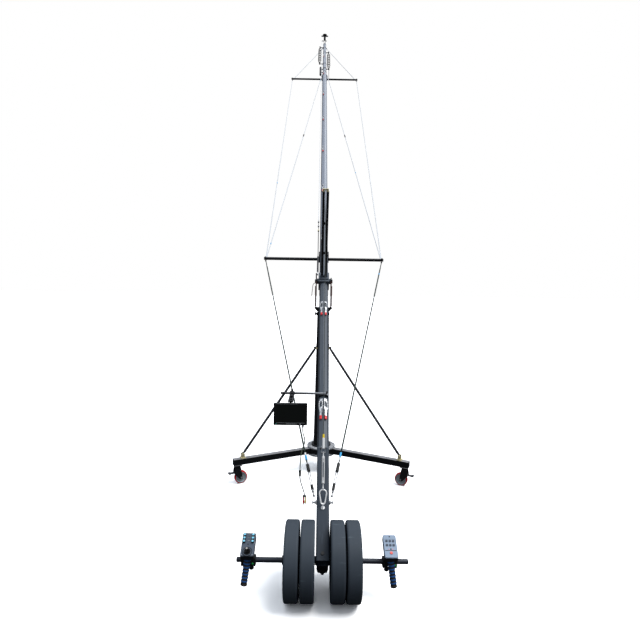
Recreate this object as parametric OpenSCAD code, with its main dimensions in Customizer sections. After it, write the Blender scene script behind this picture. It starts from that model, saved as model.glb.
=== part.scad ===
// Camera jib crane: a sectional octagonal boom on a braced rolling column,
// stayed by a king post and two crossbars, with a weight bar and hand
// controls at the tail and a levelled head at the tip.

/* [Stand] */
// Height of the tilt axle above the floor
axle_h = 1697; // [1600:1:1760]
// Radius from the column to the leg ends
leg_reach = 814; // [760:1:900]
// Side of the square leg tubes
leg_side = 50; // [40:1:60]
// Height of the legs' underside above the floor
leg_under = 163; // [155:1:190]
// Radius of the hub plates
hub_r = 125; // [110:1:150]
// Thickness of the hub's top and bottom plates
hub_plate_t = 12; // [8:1:16]
// Radius of the column at its foot
column_foot_r = 70; // [62:1:80]
// Radius of the column at its head
column_head_r = 52; // [46:1:58]
// Height of the brace collar's centre
collar_h = 1119; // [1000:1:1250]
// Radius of the brace tubes
brace_r = 11; // [8:0.5:14]
// Radius from the column to the lower brace pins
brace_foot_reach = 732; // [650:1:734]

/* [Casters] */
// Radius of the caster wheels
wheel_r = 54; // [48:1:58]
// Width of the wheel tread
wheel_w = 32; // [24:1:38]
// Depth of the bonded tread
tread_t = 9; // [6:1:12]
// Trail of the wheel behind its swivel
caster_trail = 28; // [20:1:36]
// Radius from the column to the swivels
swivel_reach = 779; // [770:1:782]
// Radius of the wheel bolts
wheel_bolt_r = 5; // [4:0.5:6]

/* [Pan head] */
// Distance between the insides of the yoke plates
yoke_gap = 120; // [116:1:140]
// Thickness of the yoke plates
yoke_t = 10; // [8:1:14]
// Height from the yoke's base plate to the axle
yoke_rise = 228; // [200:1:260]
// Depth of the yoke plates along the boom
yoke_depth = 64; // [50:1:80]
// Height of the pan cone under the yoke
pan_cone_h = 34; // [26:1:44]
// Radius of the tilt axle
axle_r = 12; // [9:0.5:14]

/* [Boom] */
// Length of one boom section
section_len = 1000; // [900:10:1050]
// Corner radius of the octagonal sections
boom_r = 37.5; // [34:0.5:38]
// Corner radius of the foremost section
fore_r = 31.5; // [30:0.5:34]
// Corner radius of the tip tube
tip_r = 27; // [25:0.5:29]
// Wall of the boom tubes
boom_wall = 3; // [2:0.5:4]
// Side of the square tail tube
tail_side = 73; // [66:1:76]
// Distance from the axle back to the first section joint
rear_joint = 1365; // [1300:5:1400]
// Length of the rear stub between tail tube and first joint
rear_stub = 320; // [280:10:400]
// Length of the tail tube
tail_len = 672; // [600:4:720]
// Length that the tip tube stands out
tip_len = 800; // [700:5:850]
// Length of the spigots inside the joints
spigot_len = 80; // [60:5:120]

/* [Rigging] */
// Height of the king post tubes above the boom's axis
post_h = 872; // [750:2:950]
// Radius of the king post tubes
post_r = 10; // [8:0.5:12]
// Distance between the king post tubes
post_gap = 32; // [28:1:40]
// Length of the crossbars
crossbar_len = 1120; // [900:10:1300]
// Radius of the crossbars
crossbar_r = 14; // [10:0.5:16]
// Distance from the axle to the lower crossbar
lower_bar_u = 402; // [380:2:450]
// Distance from the axle to the upper crossbar
upper_bar_u = 5540; // [5400:5:5560]
// Radius of the side stays
stay_r = 4; // [1.5:0.5:5]
// Distance from the tail end to the side stay anchors
anchor_back = 372; // [320:2:400]
// Distance from the tail end to the top stay bolt
top_bolt_back = 285; // [270:1:320]

/* [Tail] */
// Radius of the weight bar
bar_r = 14; // [12:0.5:16]
// Length of the weight bar
bar_len = 930; // [860:5:1000]
// Distance from the tail end to the weight bar
bar_back = 36; // [32:1:44]
// Depth of the weight bar below the boom's axis
bar_drop = 60; // [56:1:66]
// Radius of the round plates
plate_r = 206; // [195:1:225]
// Thickness of the round plates
plate_t = 76; // [60:1:78]
// Distance from the middle to the inner plates
inner_plate_x = 80; // [79:1:84]
// Distance from the middle to the outer plates
outer_plate_x = 165; // [163:1:172]

/* [Controls] */
// Distance from the middle to the left control box
left_box_x = 400; // [385:1:420]
// Distance from the middle to the right control box
right_box_x = 364; // [350:1:385]
// Width of the control boxes
box_w = 72; // [66:1:80]
// Length of the control boxes
box_l = 135; // [130:1:160]
// Depth of the control boxes
box_d = 36; // [30:1:44]
// Slope of the box faces from level, in degrees
box_slope = 27; // [20:1:35]
// Length of the hand grips
grip_len = 140; // [100:1:160]
// Radius of the hand grips
grip_r = 18.5; // [14:0.5:20]
// Diameter of the control knobs
knob_d = 13; // [10:0.5:15]

/* [Monitor] */
// Width of the monitor
monitor_w = 218; // [200:2:250]
// Height of the monitor
monitor_h = 144; // [130:2:160]
// Depth of the monitor
monitor_d = 34; // [26:1:44]
// Distance from the axle back to the monitor rod
monitor_back = 1275; // [1250:5:1290]
// Reach of the monitor bracket from its rod
monitor_reach = 170; // [150:1:190]
// Radius of the monitor rod
rod_r = 8; // [6:0.5:10]

/* [Head] */
// Distance from the tip tube's end to the head pivot
head_out = 55; // [50:1:70]
// Rise of the levelling cable above its pivots
level_rise = 60; // [50:1:66]
// Radius of the head plate
head_plate_r = 40; // [38:1:56]
// Height of the head plate above its pivot
head_rise = 180; // [150:1:200]
// Radius of the levelling cable
cable_r = 2.5; // [1.5:0.5:3]

/* [Leads] */
// Radius of the curly cords' coils at the cord's centre
curl_r = 22; // [18:0.5:24]
// Diameter of the curly cords
curl_cord_d = 12; // [6:0.5:13]
// Turns of each curly cord
curl_turns = 8; // [6:1:13]
// Diameter of the picture lead
lead_d = 7; // [4:0.5:8]

/* [Hidden] */

// Clearance between a running shaft and its bore, on the radius
run_gap = 0.05;
// Clearance between pieces that seat on each other
seat_gap = 0.3;
// Number of boom sections between latched joints
sections = 8;
// Number of the section that narrows to the fore tube
fore_section = 7;
// Bearings of the legs, in degrees from the boom's forward direction
leg_bearings = [116, 244, 0];
leg_names = ["left", "right", "front"];

tail_u = -rear_joint - rear_stub - tail_len;
first_joint_u = -rear_joint;
last_joint_u = first_joint_u + sections * section_len;
tip_u = last_joint_u + tip_len;
head_u = tip_u + head_out;
bar_u = tail_u + bar_back;
// Elevation at which the round plates just rest on the floor
boom_angle = asin((axle_h - plate_r) / norm([bar_u, bar_drop])) - atan(bar_drop / -bar_u);
hub_top = leg_under + leg_side + hub_plate_t;
hub_low = leg_under - hub_plate_t;
yoke_base_t = 10;
yoke_base_z = axle_h - yoke_rise;
column_top = yoke_base_z - yoke_base_t - pan_cone_h;
oct_flat = cos(22.5);
inner_cut = boom_wall / oct_flat;
steel = [0.72, 0.73, 0.75];
black = [0.06, 0.06, 0.07];
anodised = [0.33, 0.36, 0.41];
brass = [0.85, 0.76, 0.5];
red = [0.85, 0.1, 0.1];
$fn = 48;

// Places a child on the boom: x to the right, y along it, z square to it
module on_boom() {
    translate([0, 0, axle_h]) rotate([boom_angle, 0, 0]) children();
}

// Places a child upright in the world at a point of the boom
module upright_at(p) {
    on_boom() translate(p) rotate([-boom_angle, 0, 0]) children();
}

// Straight round bar between two points
module rod(p, q, r) {
    d = q - p;
    len = norm(d);
    translate(p) rotate([0, acos(d[2] / len), atan2(d[1], d[0])]) cylinder(r = r, h = len);
}

// Rectangle with true round corners
module round_rect(w, h, r) {
    square([w - 2 * r, h], center = true);
    square([w, h - 2 * r], center = true);
    for (x = [-1, 1], y = [-1, 1])
        translate([x * (w / 2 - r), y * (h / 2 - r)]) circle(r = r, $fn = 24);
}

// Bar along x of radius r, centred
module x_bar(r, len) {
    rotate([0, 90, 0]) cylinder(r = r, h = len, center = true);
}

// Octagonal tube along y with a corner on top
module oct_tube(r, len, cut = inner_cut) {
    rotate([-90, 0, 0]) linear_extrude(len) difference() {
        circle(r = r, $fn = 8);
        circle(r = r - cut, $fn = 8);
    }
}

function joint_u(i) = first_joint_u + i * section_len;
function section_r(i) = i < fore_section ? boom_r : fore_r;

// Stand

module leg_at(i) {
    rotate([0, 0, leg_bearings[i]]) children();
}

module hub() {
    slot = leg_side + 2 * seat_gap;
    color(black) difference() {
        union() {
            translate([0, 0, hub_low]) cylinder(r = hub_r, h = hub_plate_t);
            translate([0, 0, hub_top - hub_plate_t]) cylinder(r = hub_r, h = hub_plate_t);
            translate([0, 0, hub_low]) cylinder(r = hub_r - 22, h = hub_top - hub_low);
            for (i = [0:2]) leg_at(i) for (s = [-1, 1])
                translate([s * (slot / 2 + 4), hub_r - 34, (hub_low + hub_top) / 2])
                    cube([8, 52, hub_top - hub_low], center = true);
        }
        for (i = [0:2]) leg_at(i)
            translate([-slot / 2, hub_socket_r - seat_gap, leg_under - seat_gap])
                cube([slot, hub_r, leg_side + 2 * seat_gap]);
    }
}
hub_socket_r = 52;

module legs() {
    cap_t = 5;
    color(black) for (i = [0:2]) leg_at(i) {
        translate([-leg_side / 2, hub_socket_r, leg_under]) difference() {
            cube([leg_side, leg_reach - cap_t - hub_socket_r, leg_side]);
            translate([leg_wall, -1, leg_wall])
                cube([leg_side - 2 * leg_wall, leg_reach, leg_side - 2 * leg_wall]);
        }
        translate([0, leg_reach, leg_under + leg_side / 2]) rotate([90, 0, 0])
            linear_extrude(cap_t - 0.01) round_rect(leg_side, leg_side, 4);
        translate([0, leg_reach - cap_t + 1, leg_under + leg_side / 2]) rotate([90, 0, 0])
            linear_extrude(18) difference() {
                square(leg_side - 2 * leg_wall - 2 * seat_gap, center = true);
                square(leg_side - 2 * leg_wall - 8, center = true);
            }
        // Plate and pin of the caster
        translate([-32, swivel_reach - 32, fork_top]) cube([64, 64, caster_plate_t]);
        translate([0, swivel_reach, fork_top - race_h - 11])
            cylinder(r = swivel_pin_r, h = race_h + 12);
        translate([0, swivel_reach, fork_top - race_h - 11]) cylinder(r = 12, h = 5 - seat_gap);
    }
}
leg_wall = 3;

module column() {
    foot_h = 14;
    color(black) difference() {
        union() {
            translate([0, 0, hub_top]) cylinder(r = column_foot_r + 16, h = foot_h);
            translate([0, 0, hub_top])
                cylinder(r1 = column_foot_r, r2 = column_head_r, h = column_top - hub_top);
            translate([0, 0, collar_h - 22]) cylinder(r = collar_r, h = 44);
            translate([0, 0, column_top - 26]) cylinder(r = column_head_r + 4, h = 26);
            for (i = [0:2]) leg_at(i) for (s = [-1, 1])
                translate([s * (ear_gap / 2 + 3), collar_r + 4, collar_h - 8])
                    rotate([0, 90, 0]) union() {
                        translate([0, ear_out - 4, 0]) cylinder(r = 11, h = 6, center = true);
                        cube([22, 2 * ear_out - 8, 6], center = true);
                    }
        }
        translate([0, 0, hub_top + foot_h]) cylinder(
            r1 = column_foot_r - 6, r2 = column_head_r - 6, h = column_top - hub_top - foot_h - 30);
        translate([0, 0, hub_top - 1]) cylinder(r = 20, h = column_top);
        for (i = [0:2]) leg_at(i) translate([0, collar_r + ear_out, collar_h - 8])
            x_bar(pin_r + run_gap, 60);
    }
}
collar_r = column_head_r + 6;
ear_gap = 20;
ear_out = 12;
pin_r = 4;
brace_top = [0, collar_r + ear_out, collar_h - 8];
brace_foot = [0, brace_foot_reach, leg_under + leg_side + 34];

module braces() {
    d = brace_foot - brace_top;
    dir = d / norm(d);
    eye_t = ear_gap - 2 * seat_gap;
    color(black) for (i = [0:2]) leg_at(i) difference() {
        union() {
            rod(brace_top + 20 * dir, brace_foot - 20 * dir, brace_r);
            rod(brace_top, brace_top + 40 * dir, brace_r - 3);
            rod(brace_foot, brace_foot - 40 * dir, brace_r - 3);
            translate(brace_top) x_bar(9, eye_t);
            translate(brace_foot) x_bar(9, eye_t);
        }
        translate(brace_top) x_bar(pin_r + run_gap, 60);
        translate(brace_foot) x_bar(pin_r + run_gap, 60);
    }
}

module brace_clevises() {
    ear_t = 7;
    base_t = 8;
    leg_top = leg_under + leg_side;
    rise = brace_foot[2] - leg_top;
    color(brass) for (i = [0:2]) leg_at(i) {
        difference() {
            union() {
                translate([-22, brace_foot[1] - 20, leg_top]) cube([44, 40, base_t]);
                for (s = [-1, 1]) translate([s * (ear_gap / 2 + ear_t / 2), brace_foot[1], leg_top]) {
                    translate([-ear_t / 2, -12, 0]) cube([ear_t, 24, rise]);
                    translate([0, 0, rise]) x_bar(12, ear_t);
                }
            }
            translate(brace_foot) x_bar(pin_r + run_gap, 60);
        }
        for (p = [brace_top, brace_foot]) translate(p) {
            x_bar(pin_r, ear_gap + 24);
            for (s = [-1, 1]) translate([s * (ear_gap / 2 + 10), 0, 0]) x_bar(pin_r + 3, 4);
        }
    }
}

// Casters

caster_plate_t = 6;
race_h = 12;
fork_top = leg_under - caster_plate_t;
fork_half = wheel_w / 2 + 3;
fork_t = 4;
swivel_pin_r = 7;
pedal_z = wheel_r + 42;
pedal_y = 22;

module at_swivel(i) {
    leg_at(i) translate([0, swivel_reach, 0]) children();
}

module caster_fork(i) {
    color(black) at_swivel(i) {
        difference() {
            union() {
                translate([0, 0, fork_top - race_h]) cylinder(r = 24, h = race_h - seat_gap);
                translate([-fork_half - fork_t, -24, fork_top - race_h - 6])
                    cube([2 * (fork_half + fork_t), 48, 6]);
                for (s = [-1, 1])
                    translate([s * (fork_half + fork_t / 2), 0, 0]) rotate([90, 0, 90])
                        linear_extrude(fork_t, center = true) polygon([
                            [-24, fork_top - race_h], [24, fork_top - race_h],
                            [pedal_y + 9, pedal_z + 14], [pedal_y + 9, pedal_z - 8],
                            [pedal_y - 4, pedal_z - 16],
                            [-caster_trail + 12, wheel_r - 12],
                            [-caster_trail - 12, wheel_r - 12]]);
            }
            translate([0, -caster_trail, wheel_r]) x_bar(wheel_bolt_r + run_gap, 80);
            translate([0, pedal_y, pedal_z]) x_bar(3 + run_gap, 80);
            translate([0, 0, fork_top - race_h - 8]) cylinder(r = swivel_pin_r + run_gap, h = 30);
        }
        translate([0, -caster_trail, wheel_r]) {
            x_bar(wheel_bolt_r, 2 * (fork_half + fork_t) + 8);
            for (s = [-1, 1])
                translate([s * (fork_half + fork_t + 3), 0, 0]) rotate([0, 90, 0])
                    cylinder(r = 8, h = 5, center = true, $fn = 6);
        }
    }
}

module caster_wheel(i) {
    at_swivel(i) translate([0, -caster_trail, wheel_r]) rotate([0, 90, 0]) {
        color(red) rotate_extrude($fn = 72) polygon([
            [wheel_r - tread_t, -wheel_w / 2 + 2], [wheel_r - 3, -wheel_w / 2 + 2],
            [wheel_r, -wheel_w / 2 + 5], [wheel_r, wheel_w / 2 - 5],
            [wheel_r - 3, wheel_w / 2 - 2], [wheel_r - tread_t, wheel_w / 2 - 2]]);
        color([0.85, 0.85, 0.84]) rotate_extrude($fn = 72) polygon([
            [wheel_bolt_r + run_gap, -wheel_w / 2], [16, -wheel_w / 2], [18, -7],
            [wheel_r - tread_t - 6, -7], [wheel_r - tread_t - 4, -wheel_w / 2],
            [wheel_r - tread_t, -wheel_w / 2], [wheel_r - tread_t, wheel_w / 2],
            [wheel_r - tread_t - 4, wheel_w / 2], [wheel_r - tread_t - 6, 7],
            [18, 7], [16, wheel_w / 2], [wheel_bolt_r + run_gap, wheel_w / 2]]);
    }
}

module brake_pedal(i) {
    half = fork_half - 1;
    color(black) at_swivel(i) translate([0, pedal_y, pedal_z]) {
        x_bar(3, 2 * (fork_half + fork_t));
        x_bar(6, 2 * half);
        translate([-half, 0, -2]) cube([2 * half, 44, 4]);
        translate([-half - 3, 36, -3]) cube([2 * half + 6, 20, 7]);
    }
}

// Pan head

module yoke() {
    color([0.12, 0.12, 0.12]) difference() {
        union() {
            translate([0, 0, column_top + seat_gap])
                cylinder(r1 = 46, r2 = yoke_gap / 2 + yoke_t + 8, h = pan_cone_h - seat_gap);
            translate([-yoke_gap / 2 - yoke_t - 8, -yoke_depth / 2 - 6, yoke_base_z - yoke_base_t])
                cube([yoke_gap + 2 * yoke_t + 16, yoke_depth + 12, yoke_base_t]);
            translate([0, 0, column_top - 29]) cylinder(r = pan_pin_r, h = 40);
            for (s = [-1, 1]) translate([s * (yoke_gap / 2 + yoke_t / 2), 0, 0]) {
                translate([-yoke_t / 2, -yoke_depth / 2, yoke_base_z])
                    cube([yoke_t, yoke_depth, yoke_rise]);
                translate([0, 0, axle_h]) x_bar(yoke_depth / 2, yoke_t);
            }
            // Ear of the levelling cable on the left plate
            translate([-yoke_gap / 2 - yoke_t, -12, axle_h]) cube([yoke_t, 24, level_rise]);
            translate([-(yoke_gap + yoke_t) / 2, 0, axle_h + level_rise]) x_bar(12, yoke_t);
            translate([-level_x, 0, axle_h + level_rise]) rotate([0, -90, 0])
                translate([0, 0, -5]) cylinder(r = level_pin_r, h = 5 + yoke_gap / 2 - level_x);
        }
        translate([0, 0, axle_h]) x_bar(axle_r + run_gap, 2 * yoke_gap);
        for (s = [-1, 1]) translate([s * (yoke_gap / 2 + yoke_t / 2), 0, yoke_base_z + 62])
            x_bar(14, yoke_t + 2);
    }
}
pan_pin_r = 19.95;
level_x = 54;
level_pin_r = 4;

module tilt_axle() {
    half = yoke_gap / 2 + yoke_t;
    color(steel) translate([0, 0, axle_h]) {
        x_bar(axle_r, 2 * half + 2);
        for (s = [-1, 1]) translate([s * (half + seat_gap + 3.5), 0, 0]) x_bar(axle_r + 5, 7);
    }
}

module pan_lock() {
    color(black) translate([0, 0, column_top - 13]) rotate([0, -90, 0]) {
        translate([0, 0, column_head_r + 4 + seat_gap]) cylinder(r = 8, h = 5);
        translate([0, 0, column_head_r + 8]) difference() {
            cylinder(r = 13, h = 14);
            for (a = [0:60:300]) rotate([0, 0, a]) translate([16, 0, -1]) cylinder(r = 5, h = 20);
        }
    }
}

// Boom tubes

module tail_tube() {
    color(anodised) on_boom() difference() {
        translate([0, tail_u, 0]) rotate([-90, 0, 0]) linear_extrude(tail_len - seat_gap)
            difference() {
                round_rect(tail_side, tail_side, 8);
                round_rect(tail_side - 2 * boom_wall, tail_side - 2 * boom_wall, 5);
            }
        translate([0, bar_u, -tail_side]) cylinder(r = tail_bolt_r + seat_gap, h = 2 * tail_side);
        translate([0, tail_u + top_bolt_back, 0]) cylinder(r = 5.3, h = tail_side);
    }
}
tail_bolt_r = 6;

// Spigot at the front end of a tube, standing into the next one
module spigot(r, next_r) {
    root = r - inner_cut + 0.4;
    out = next_r - inner_cut - seat_gap / oct_flat;
    translate([0, -30, 0]) oct_tube(root, 30, root - out + inner_cut);
    translate([0, -30, 0]) oct_tube(out, 30 + spigot_len);
}

module boom_sections() {
    color(anodised) on_boom() difference() {
        union() {
            translate([0, -rear_joint - rear_stub, 0]) {
                oct_tube(boom_r, rear_stub - seat_gap);
                translate([0, rear_stub - seat_gap, 0]) spigot(boom_r, boom_r);
                rotate([-90, 0, 0]) linear_extrude(6) difference() {
                    round_rect(tail_side, tail_side, 8);
                    circle(r = boom_r - inner_cut, $fn = 8);
                }
                translate([0, -spigot_len, 0]) rotate([-90, 0, 0]) linear_extrude(spigot_len + 6)
                    difference() {
                        round_rect(tail_spigot, tail_spigot, 4.5);
                        round_rect(tail_spigot - 8, tail_spigot - 8, 2);
                    }
            }
            for (i = [0:sections - 1]) translate([0, joint_u(i), 0]) {
                next_r = i + 1 < sections ? section_r(i + 1) : tip_r;
                oct_tube(section_r(i), section_len - seat_gap);
                translate([0, section_len - seat_gap, 0]) spigot(section_r(i), next_r);
            }
        }
        x_bar(axle_r + 0.6, 2 * boom_r + 2);
    }
}
tail_spigot = tail_side - 2 * boom_wall - 2 * seat_gap;

tip_lug = [-205, -8];
top_lug_u = -60;
lug_half = 9;
head_pin_r = 6;

module tip_tube() {
    plug = tip_r - inner_cut + 0.4;
    color(anodised) on_boom() {
        translate([0, last_joint_u, 0]) oct_tube(tip_r, tip_len);
        difference() {
            union() {
                translate([0, tip_u - 40, 0]) rotate([-90, 0, 0]) linear_extrude(40)
                    circle(r = plug, $fn = 8);
                translate([0, tip_u, 0]) rotate([-90, 0, 0]) linear_extrude(8)
                    circle(r = tip_r + 3, $fn = 8);
                translate([-lug_half, tip_u, -14]) cube([2 * lug_half, head_out, 28]);
                translate([0, head_u, 0]) x_bar(14, 2 * lug_half);
            }
            translate([0, head_u, 0]) x_bar(head_pin_r + run_gap, 60);
        }
        // Lugs of the side stays and of the top stay
        for (s = [-1, 1]) difference() {
            translate([s * (tip_r + 5), tip_u + tip_lug[0], tip_lug[1]])
                cube([26, 26, 6], center = true);
            translate([s * (tip_r + 8), tip_u + tip_lug[0], tip_lug[1] - 5]) cylinder(r = 4, h = 10);
        }
        translate([-4, tip_u + top_lug_u, tip_r - 5]) cube([8, 16, 20]);
    }
}

block_half_x = 46;
block_half_z = 50;

module pivot_block() {
    color(black) on_boom() difference() {
        union() {
            cube([2 * block_half_x, 120, 2 * block_half_z], center = true);
            x_bar(24, yoke_gap - 2 * seat_gap);
            translate([0, 0, -block_half_z - 6]) cube([60, 80, 12], center = true);
        }
        translate([0, -70, 0]) rotate([-90, 0, 0]) linear_extrude(140)
            circle(r = boom_r + seat_gap / oct_flat, $fn = 8);
        x_bar(axle_r + run_gap, 2 * yoke_gap);
    }
}

// Rigging

post_base_t = 8;

module king_post() {
    color(black) on_boom() {
        translate([0, 0, block_half_z + post_base_t / 2]) cube([80, 70, post_base_t], center = true);
        difference() {
            for (s = [-1, 1]) translate([s * post_gap / 2, 0, block_half_z + 1])
                cylinder(r = post_r, h = post_h - block_half_z - 1);
            for (s = [-1, 1]) translate([s * post_gap / 2, 0, block_half_z + post_base_t + 12])
                cylinder(r = post_r - 2, h = post_h);
        }
        for (f = [0.35, 0.68]) translate([0, 0, f * post_h])
            cube([post_gap, 8, 22], center = true);
        for (s = [-1, 1]) translate([s * post_gap / 2, 0, block_half_z + post_base_t]) difference() {
            cylinder(r1 = post_r + 8, r2 = post_r, h = 24);
            translate([0, 0, -1]) cylinder(r = post_r - 1, h = 30);
        }
    }
}

crossbar_w = -(boom_r + crossbar_r + 6);
upper_w = -(boom_r + crossbar_r + 2);
stay_x = crossbar_len / 2 - 10;

// Saddle that holds a crossbar under the boom
module bar_saddle(u, w, r) {
    translate([0, u, 0]) difference() {
        union() {
            translate([-r - 9, -26, w - crossbar_r - 7]) cube([2 * r + 18, 52, crossbar_r + 7 - w + 12]);
        }
        translate([0, -30, 0]) rotate([-90, 0, 0]) linear_extrude(60)
            circle(r = r + seat_gap / oct_flat, $fn = 8);
        translate([0, 0, w]) x_bar(crossbar_r + seat_gap, 200);
        translate([-r + 12, -30, -8]) cube([2 * r - 24, 60, 30]);
    }
}

module crossbars() {
    color(black) on_boom() {
        for (b = [[lower_bar_u, crossbar_w, boom_r], [upper_bar_u, upper_w, boom_r]]) {
            bar_saddle(b[0], b[1], b[2]);
            translate([0, b[0], b[1]]) difference() {
                x_bar(crossbar_r, crossbar_len);
                x_bar(crossbar_r - 2, crossbar_len + 2);
                for (s = [-1, 1]) translate([s * stay_x, 0, -2 * crossbar_r])
                    cylinder(r = 4.2, h = 4 * crossbar_r);
            }
            for (s = [-1, 1]) translate([s * crossbar_len / 2, b[0], b[1]]) rotate([0, s * 90, 0])
                translate([0, 0, 0]) cylinder(r = crossbar_r, h = 4);
        }
    }
}

anchor_u = tail_u + anchor_back;
anchor_x = 52;
link_len = 38;
link_u = anchor_u - link_len;
top_bolt_u = tail_u + top_bolt_back;
top_bolt_w = tail_side / 2 + 16;
post_top = [0, 0, post_h + 20];
top_anchor = [0, top_bolt_u, top_bolt_w];
top_dir = (post_top - top_anchor) / norm(post_top - top_anchor);
// Depth of the stays, and of their studs' heads, below the crossbars
stay_drop = 9;
stud_drop = stay_drop + stay_r + seat_gap + 3;
lower_w = crossbar_w - crossbar_r - stay_drop;
upper_stay_w = upper_w - crossbar_r - stay_drop;

function side_low(s) = [s * stay_x, lower_bar_u, lower_w];
function side_high(s) = [s * stay_x, upper_bar_u, upper_stay_w];
function side_tail(s) = [s * anchor_x, anchor_u, 0];
function side_tip(s) = [s * (tip_r + 8), tip_u + tip_lug[0], tip_lug[1] - 3 - stay_r - seat_gap];
function diagonal_end(s) = [s * (boom_r + 9 + seat_gap + stay_r + 0.7), upper_bar_u, -8];
function along(p, q, d) = p + d * (q - p) / norm(q - p);

// Straight wire between two points, held back from each by its own distance
module wire(p, q, from_p, from_q, r) {
    rod(along(p, q, from_p), along(q, p, from_q), r);
}
stud_r = 4;
tip_stud_drop = 6 + 2 * stay_r + 2 * seat_gap;
stud_gap = stud_r + seat_gap + 0.15 * stay_r;
top_stay_r = 2;
sleeve_end = 404;
grip_at = [2760, 2820];

// Distances along a side stay, from its anchor to the screw barrel
side_barrel = [60, 230];
// Distances along the top stay, from its bolt to the carabiner and barrel
carabiner_span = [14, 96];
top_barrel = [112, 212];
rod_r_thin = 3;

module stays() {
    color([0.25, 0.25, 0.26]) on_boom() {
        for (s = [-1, 1]) {
            wire(side_tail(s), side_low(s), side_barrel[1] + seat_gap, stud_gap, stay_r);
            wire(side_low(s), side_high(s), stud_gap, stud_gap, stay_r);
            wire(side_high(s), side_tip(s), stud_gap, stud_gap, stay_r);
            wire(side_low(s), diagonal_end(s), stud_gap, stud_gap, stay_r);
        }
        wire(top_anchor, post_top, sleeve_end + seat_gap, 5, top_stay_r);
        wire(post_top, [0, tip_u + top_lug_u - seat_gap, tip_r + 10], 5, 0, top_stay_r);
    }
}

// Ring with its axis along x
module eye_ring(r, t) {
    rotate([0, 90, 0]) rotate_extrude($fn = 32) translate([r, 0]) circle(r = t, $fn = 16);
}

module fittings() {
    color(steel) on_boom() {
        // Side anchors: a bolt in the tail tube, and two link plates to the stay's pin
        for (s = [-1, 1]) {
            translate([s * (tail_side / 2 + 4), link_u, 0]) x_bar(12, 8 - 2 * seat_gap);
            translate([s * (anchor_x - 3), link_u, 0]) x_bar(5, 22);
            translate([s * (anchor_x + 8), link_u, 0]) x_bar(8, 4);
            for (e = [-1, 1]) translate([s * anchor_x + e * 4.5, (link_u + anchor_u) / 2, 0])
                cube([2.5, link_len + 14, 16], center = true);
            translate([s * anchor_x, anchor_u, 0]) x_bar(4, 15);
        }
        // Bolt of the top stay
        translate([0, top_bolt_u, tail_side / 2]) {
            translate([0, 0, seat_gap]) cylinder(r = 11, h = 4);
            translate([0, 0, -8]) cylinder(r = 5, h = 22);
        }
        // Studs of the side stays under the crossbars
        for (s = [-1, 1], p = [[lower_bar_u, crossbar_w], [upper_bar_u, upper_w]])
            translate([s * stay_x, p[0], p[1] - crossbar_r - stud_drop]) {
                cylinder(r = stud_r, h = 2 * crossbar_r + stud_drop + 6);
                cylinder(r = 8, h = 3);
                translate([0, 0, 2 * crossbar_r + stud_drop + seat_gap]) cylinder(r = 7, h = 5);
            }
        // Studs of the diagonals on the upper saddle, and bolts in the tip lugs
        for (s = [-1, 1]) {
            translate(diagonal_end(s)) x_bar(stud_r, 2 * stay_r + 1.4);
            translate(diagonal_end(s) + [s * (stay_r + 2.2), 0, 0]) x_bar(7, 3);
            translate([s * (tip_r + 8), tip_u + tip_lug[0], tip_lug[1] - tip_stud_drop]) {
                cylinder(r = stud_r - 0.3, h = tip_stud_drop + 8);
                cylinder(r = 7, h = 3);
            }
        }
        // Grips on the diagonals
        for (s = [-1, 1]) difference() {
            rod(along(side_low(s), diagonal_end(s), grip_at[0]),
                along(side_low(s), diagonal_end(s), grip_at[1]), 7);
            rod(along(side_low(s), diagonal_end(s), grip_at[0] - 5),
                along(side_low(s), diagonal_end(s), grip_at[1] + 5), stay_r + seat_gap);
        }
        // Sleeve of the top stay
        rod(along(top_anchor, post_top, sleeve_end - 84), along(top_anchor, post_top, sleeve_end - 22), 8);
    }
    color(steel) stay_axis() for (y = [eye_low, eye_high]) translate([0, y, 0]) eye_ring(10.5, 2.2);
    color(brass) on_boom() {
        rod(along(top_anchor, post_top, sleeve_end - 22), along(top_anchor, post_top, sleeve_end), 6);
        for (s = [-1, 1]) translate([s * post_gap / 2, 0, post_h + seat_gap]) {
            cylinder(r = post_r, h = 6);
            cylinder(r = 6, h = 24);
        }
        translate([0, 0, post_h + 16]) cube([post_gap, 6, 12], center = true);
    }
}

// Open screw barrel with two eye screws, from one point to another
module screw_barrel(p, q, r) {
    a = along(p, q, 26);
    b = along(q, p, 26);
    len = norm(b - a);
    rod(p, along(p, q, 60), rod_r_thin);
    rod(q, along(q, p, 60), rod_r_thin);
    d = b - a;
    translate(a) rotate([0, acos(d[2] / len), atan2(d[1], d[0])]) difference() {
        cylinder(r = r, h = len);
        translate([-r, -3.4, 14]) cube([2 * r, 6.8, len - 28]);
    }
}

module stay_hardware() {
    fittings();
    turnbuckles();
}

module turnbuckles() {
    color(steel) on_boom() {
        for (s = [-1, 1])
            screw_barrel(side_tail(s), along(side_tail(s), side_low(s), side_barrel[1]), 7);
        screw_barrel(along(top_anchor, post_top, carabiner_span[1] + 2),
            along(top_anchor, post_top, top_barrel[1] + 90), 9);
    }
}

// Carabiner lying along the top stay
module stay_axis() {
    on_boom() translate(top_anchor) rotate([atan2(top_dir[2], top_dir[1]), 0, 0]) children();
}

carabiner_rod = 4;
eye_low = 8.5;
eye_high = 93.5;

// Pear shape: a small bow at the tail end, a wide one at the other
small_bow = 12;
wide_bow = 20;
small_y = carabiner_span[0] - 2 + small_bow;
wide_y = carabiner_span[1] - 6 - wide_bow;
pear_angle = asin((wide_bow - small_bow) / (wide_y - small_y));
side_start = [small_bow * cos(pear_angle), small_y - small_bow * sin(pear_angle), 0];
side_end = [wide_bow * cos(pear_angle), wide_y - wide_bow * sin(pear_angle), 0];
side_len = norm(side_end - side_start);
gate_stub = 8;
gate_hinge = along(side_start, side_end, gate_stub + carabiner_rod);

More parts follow.
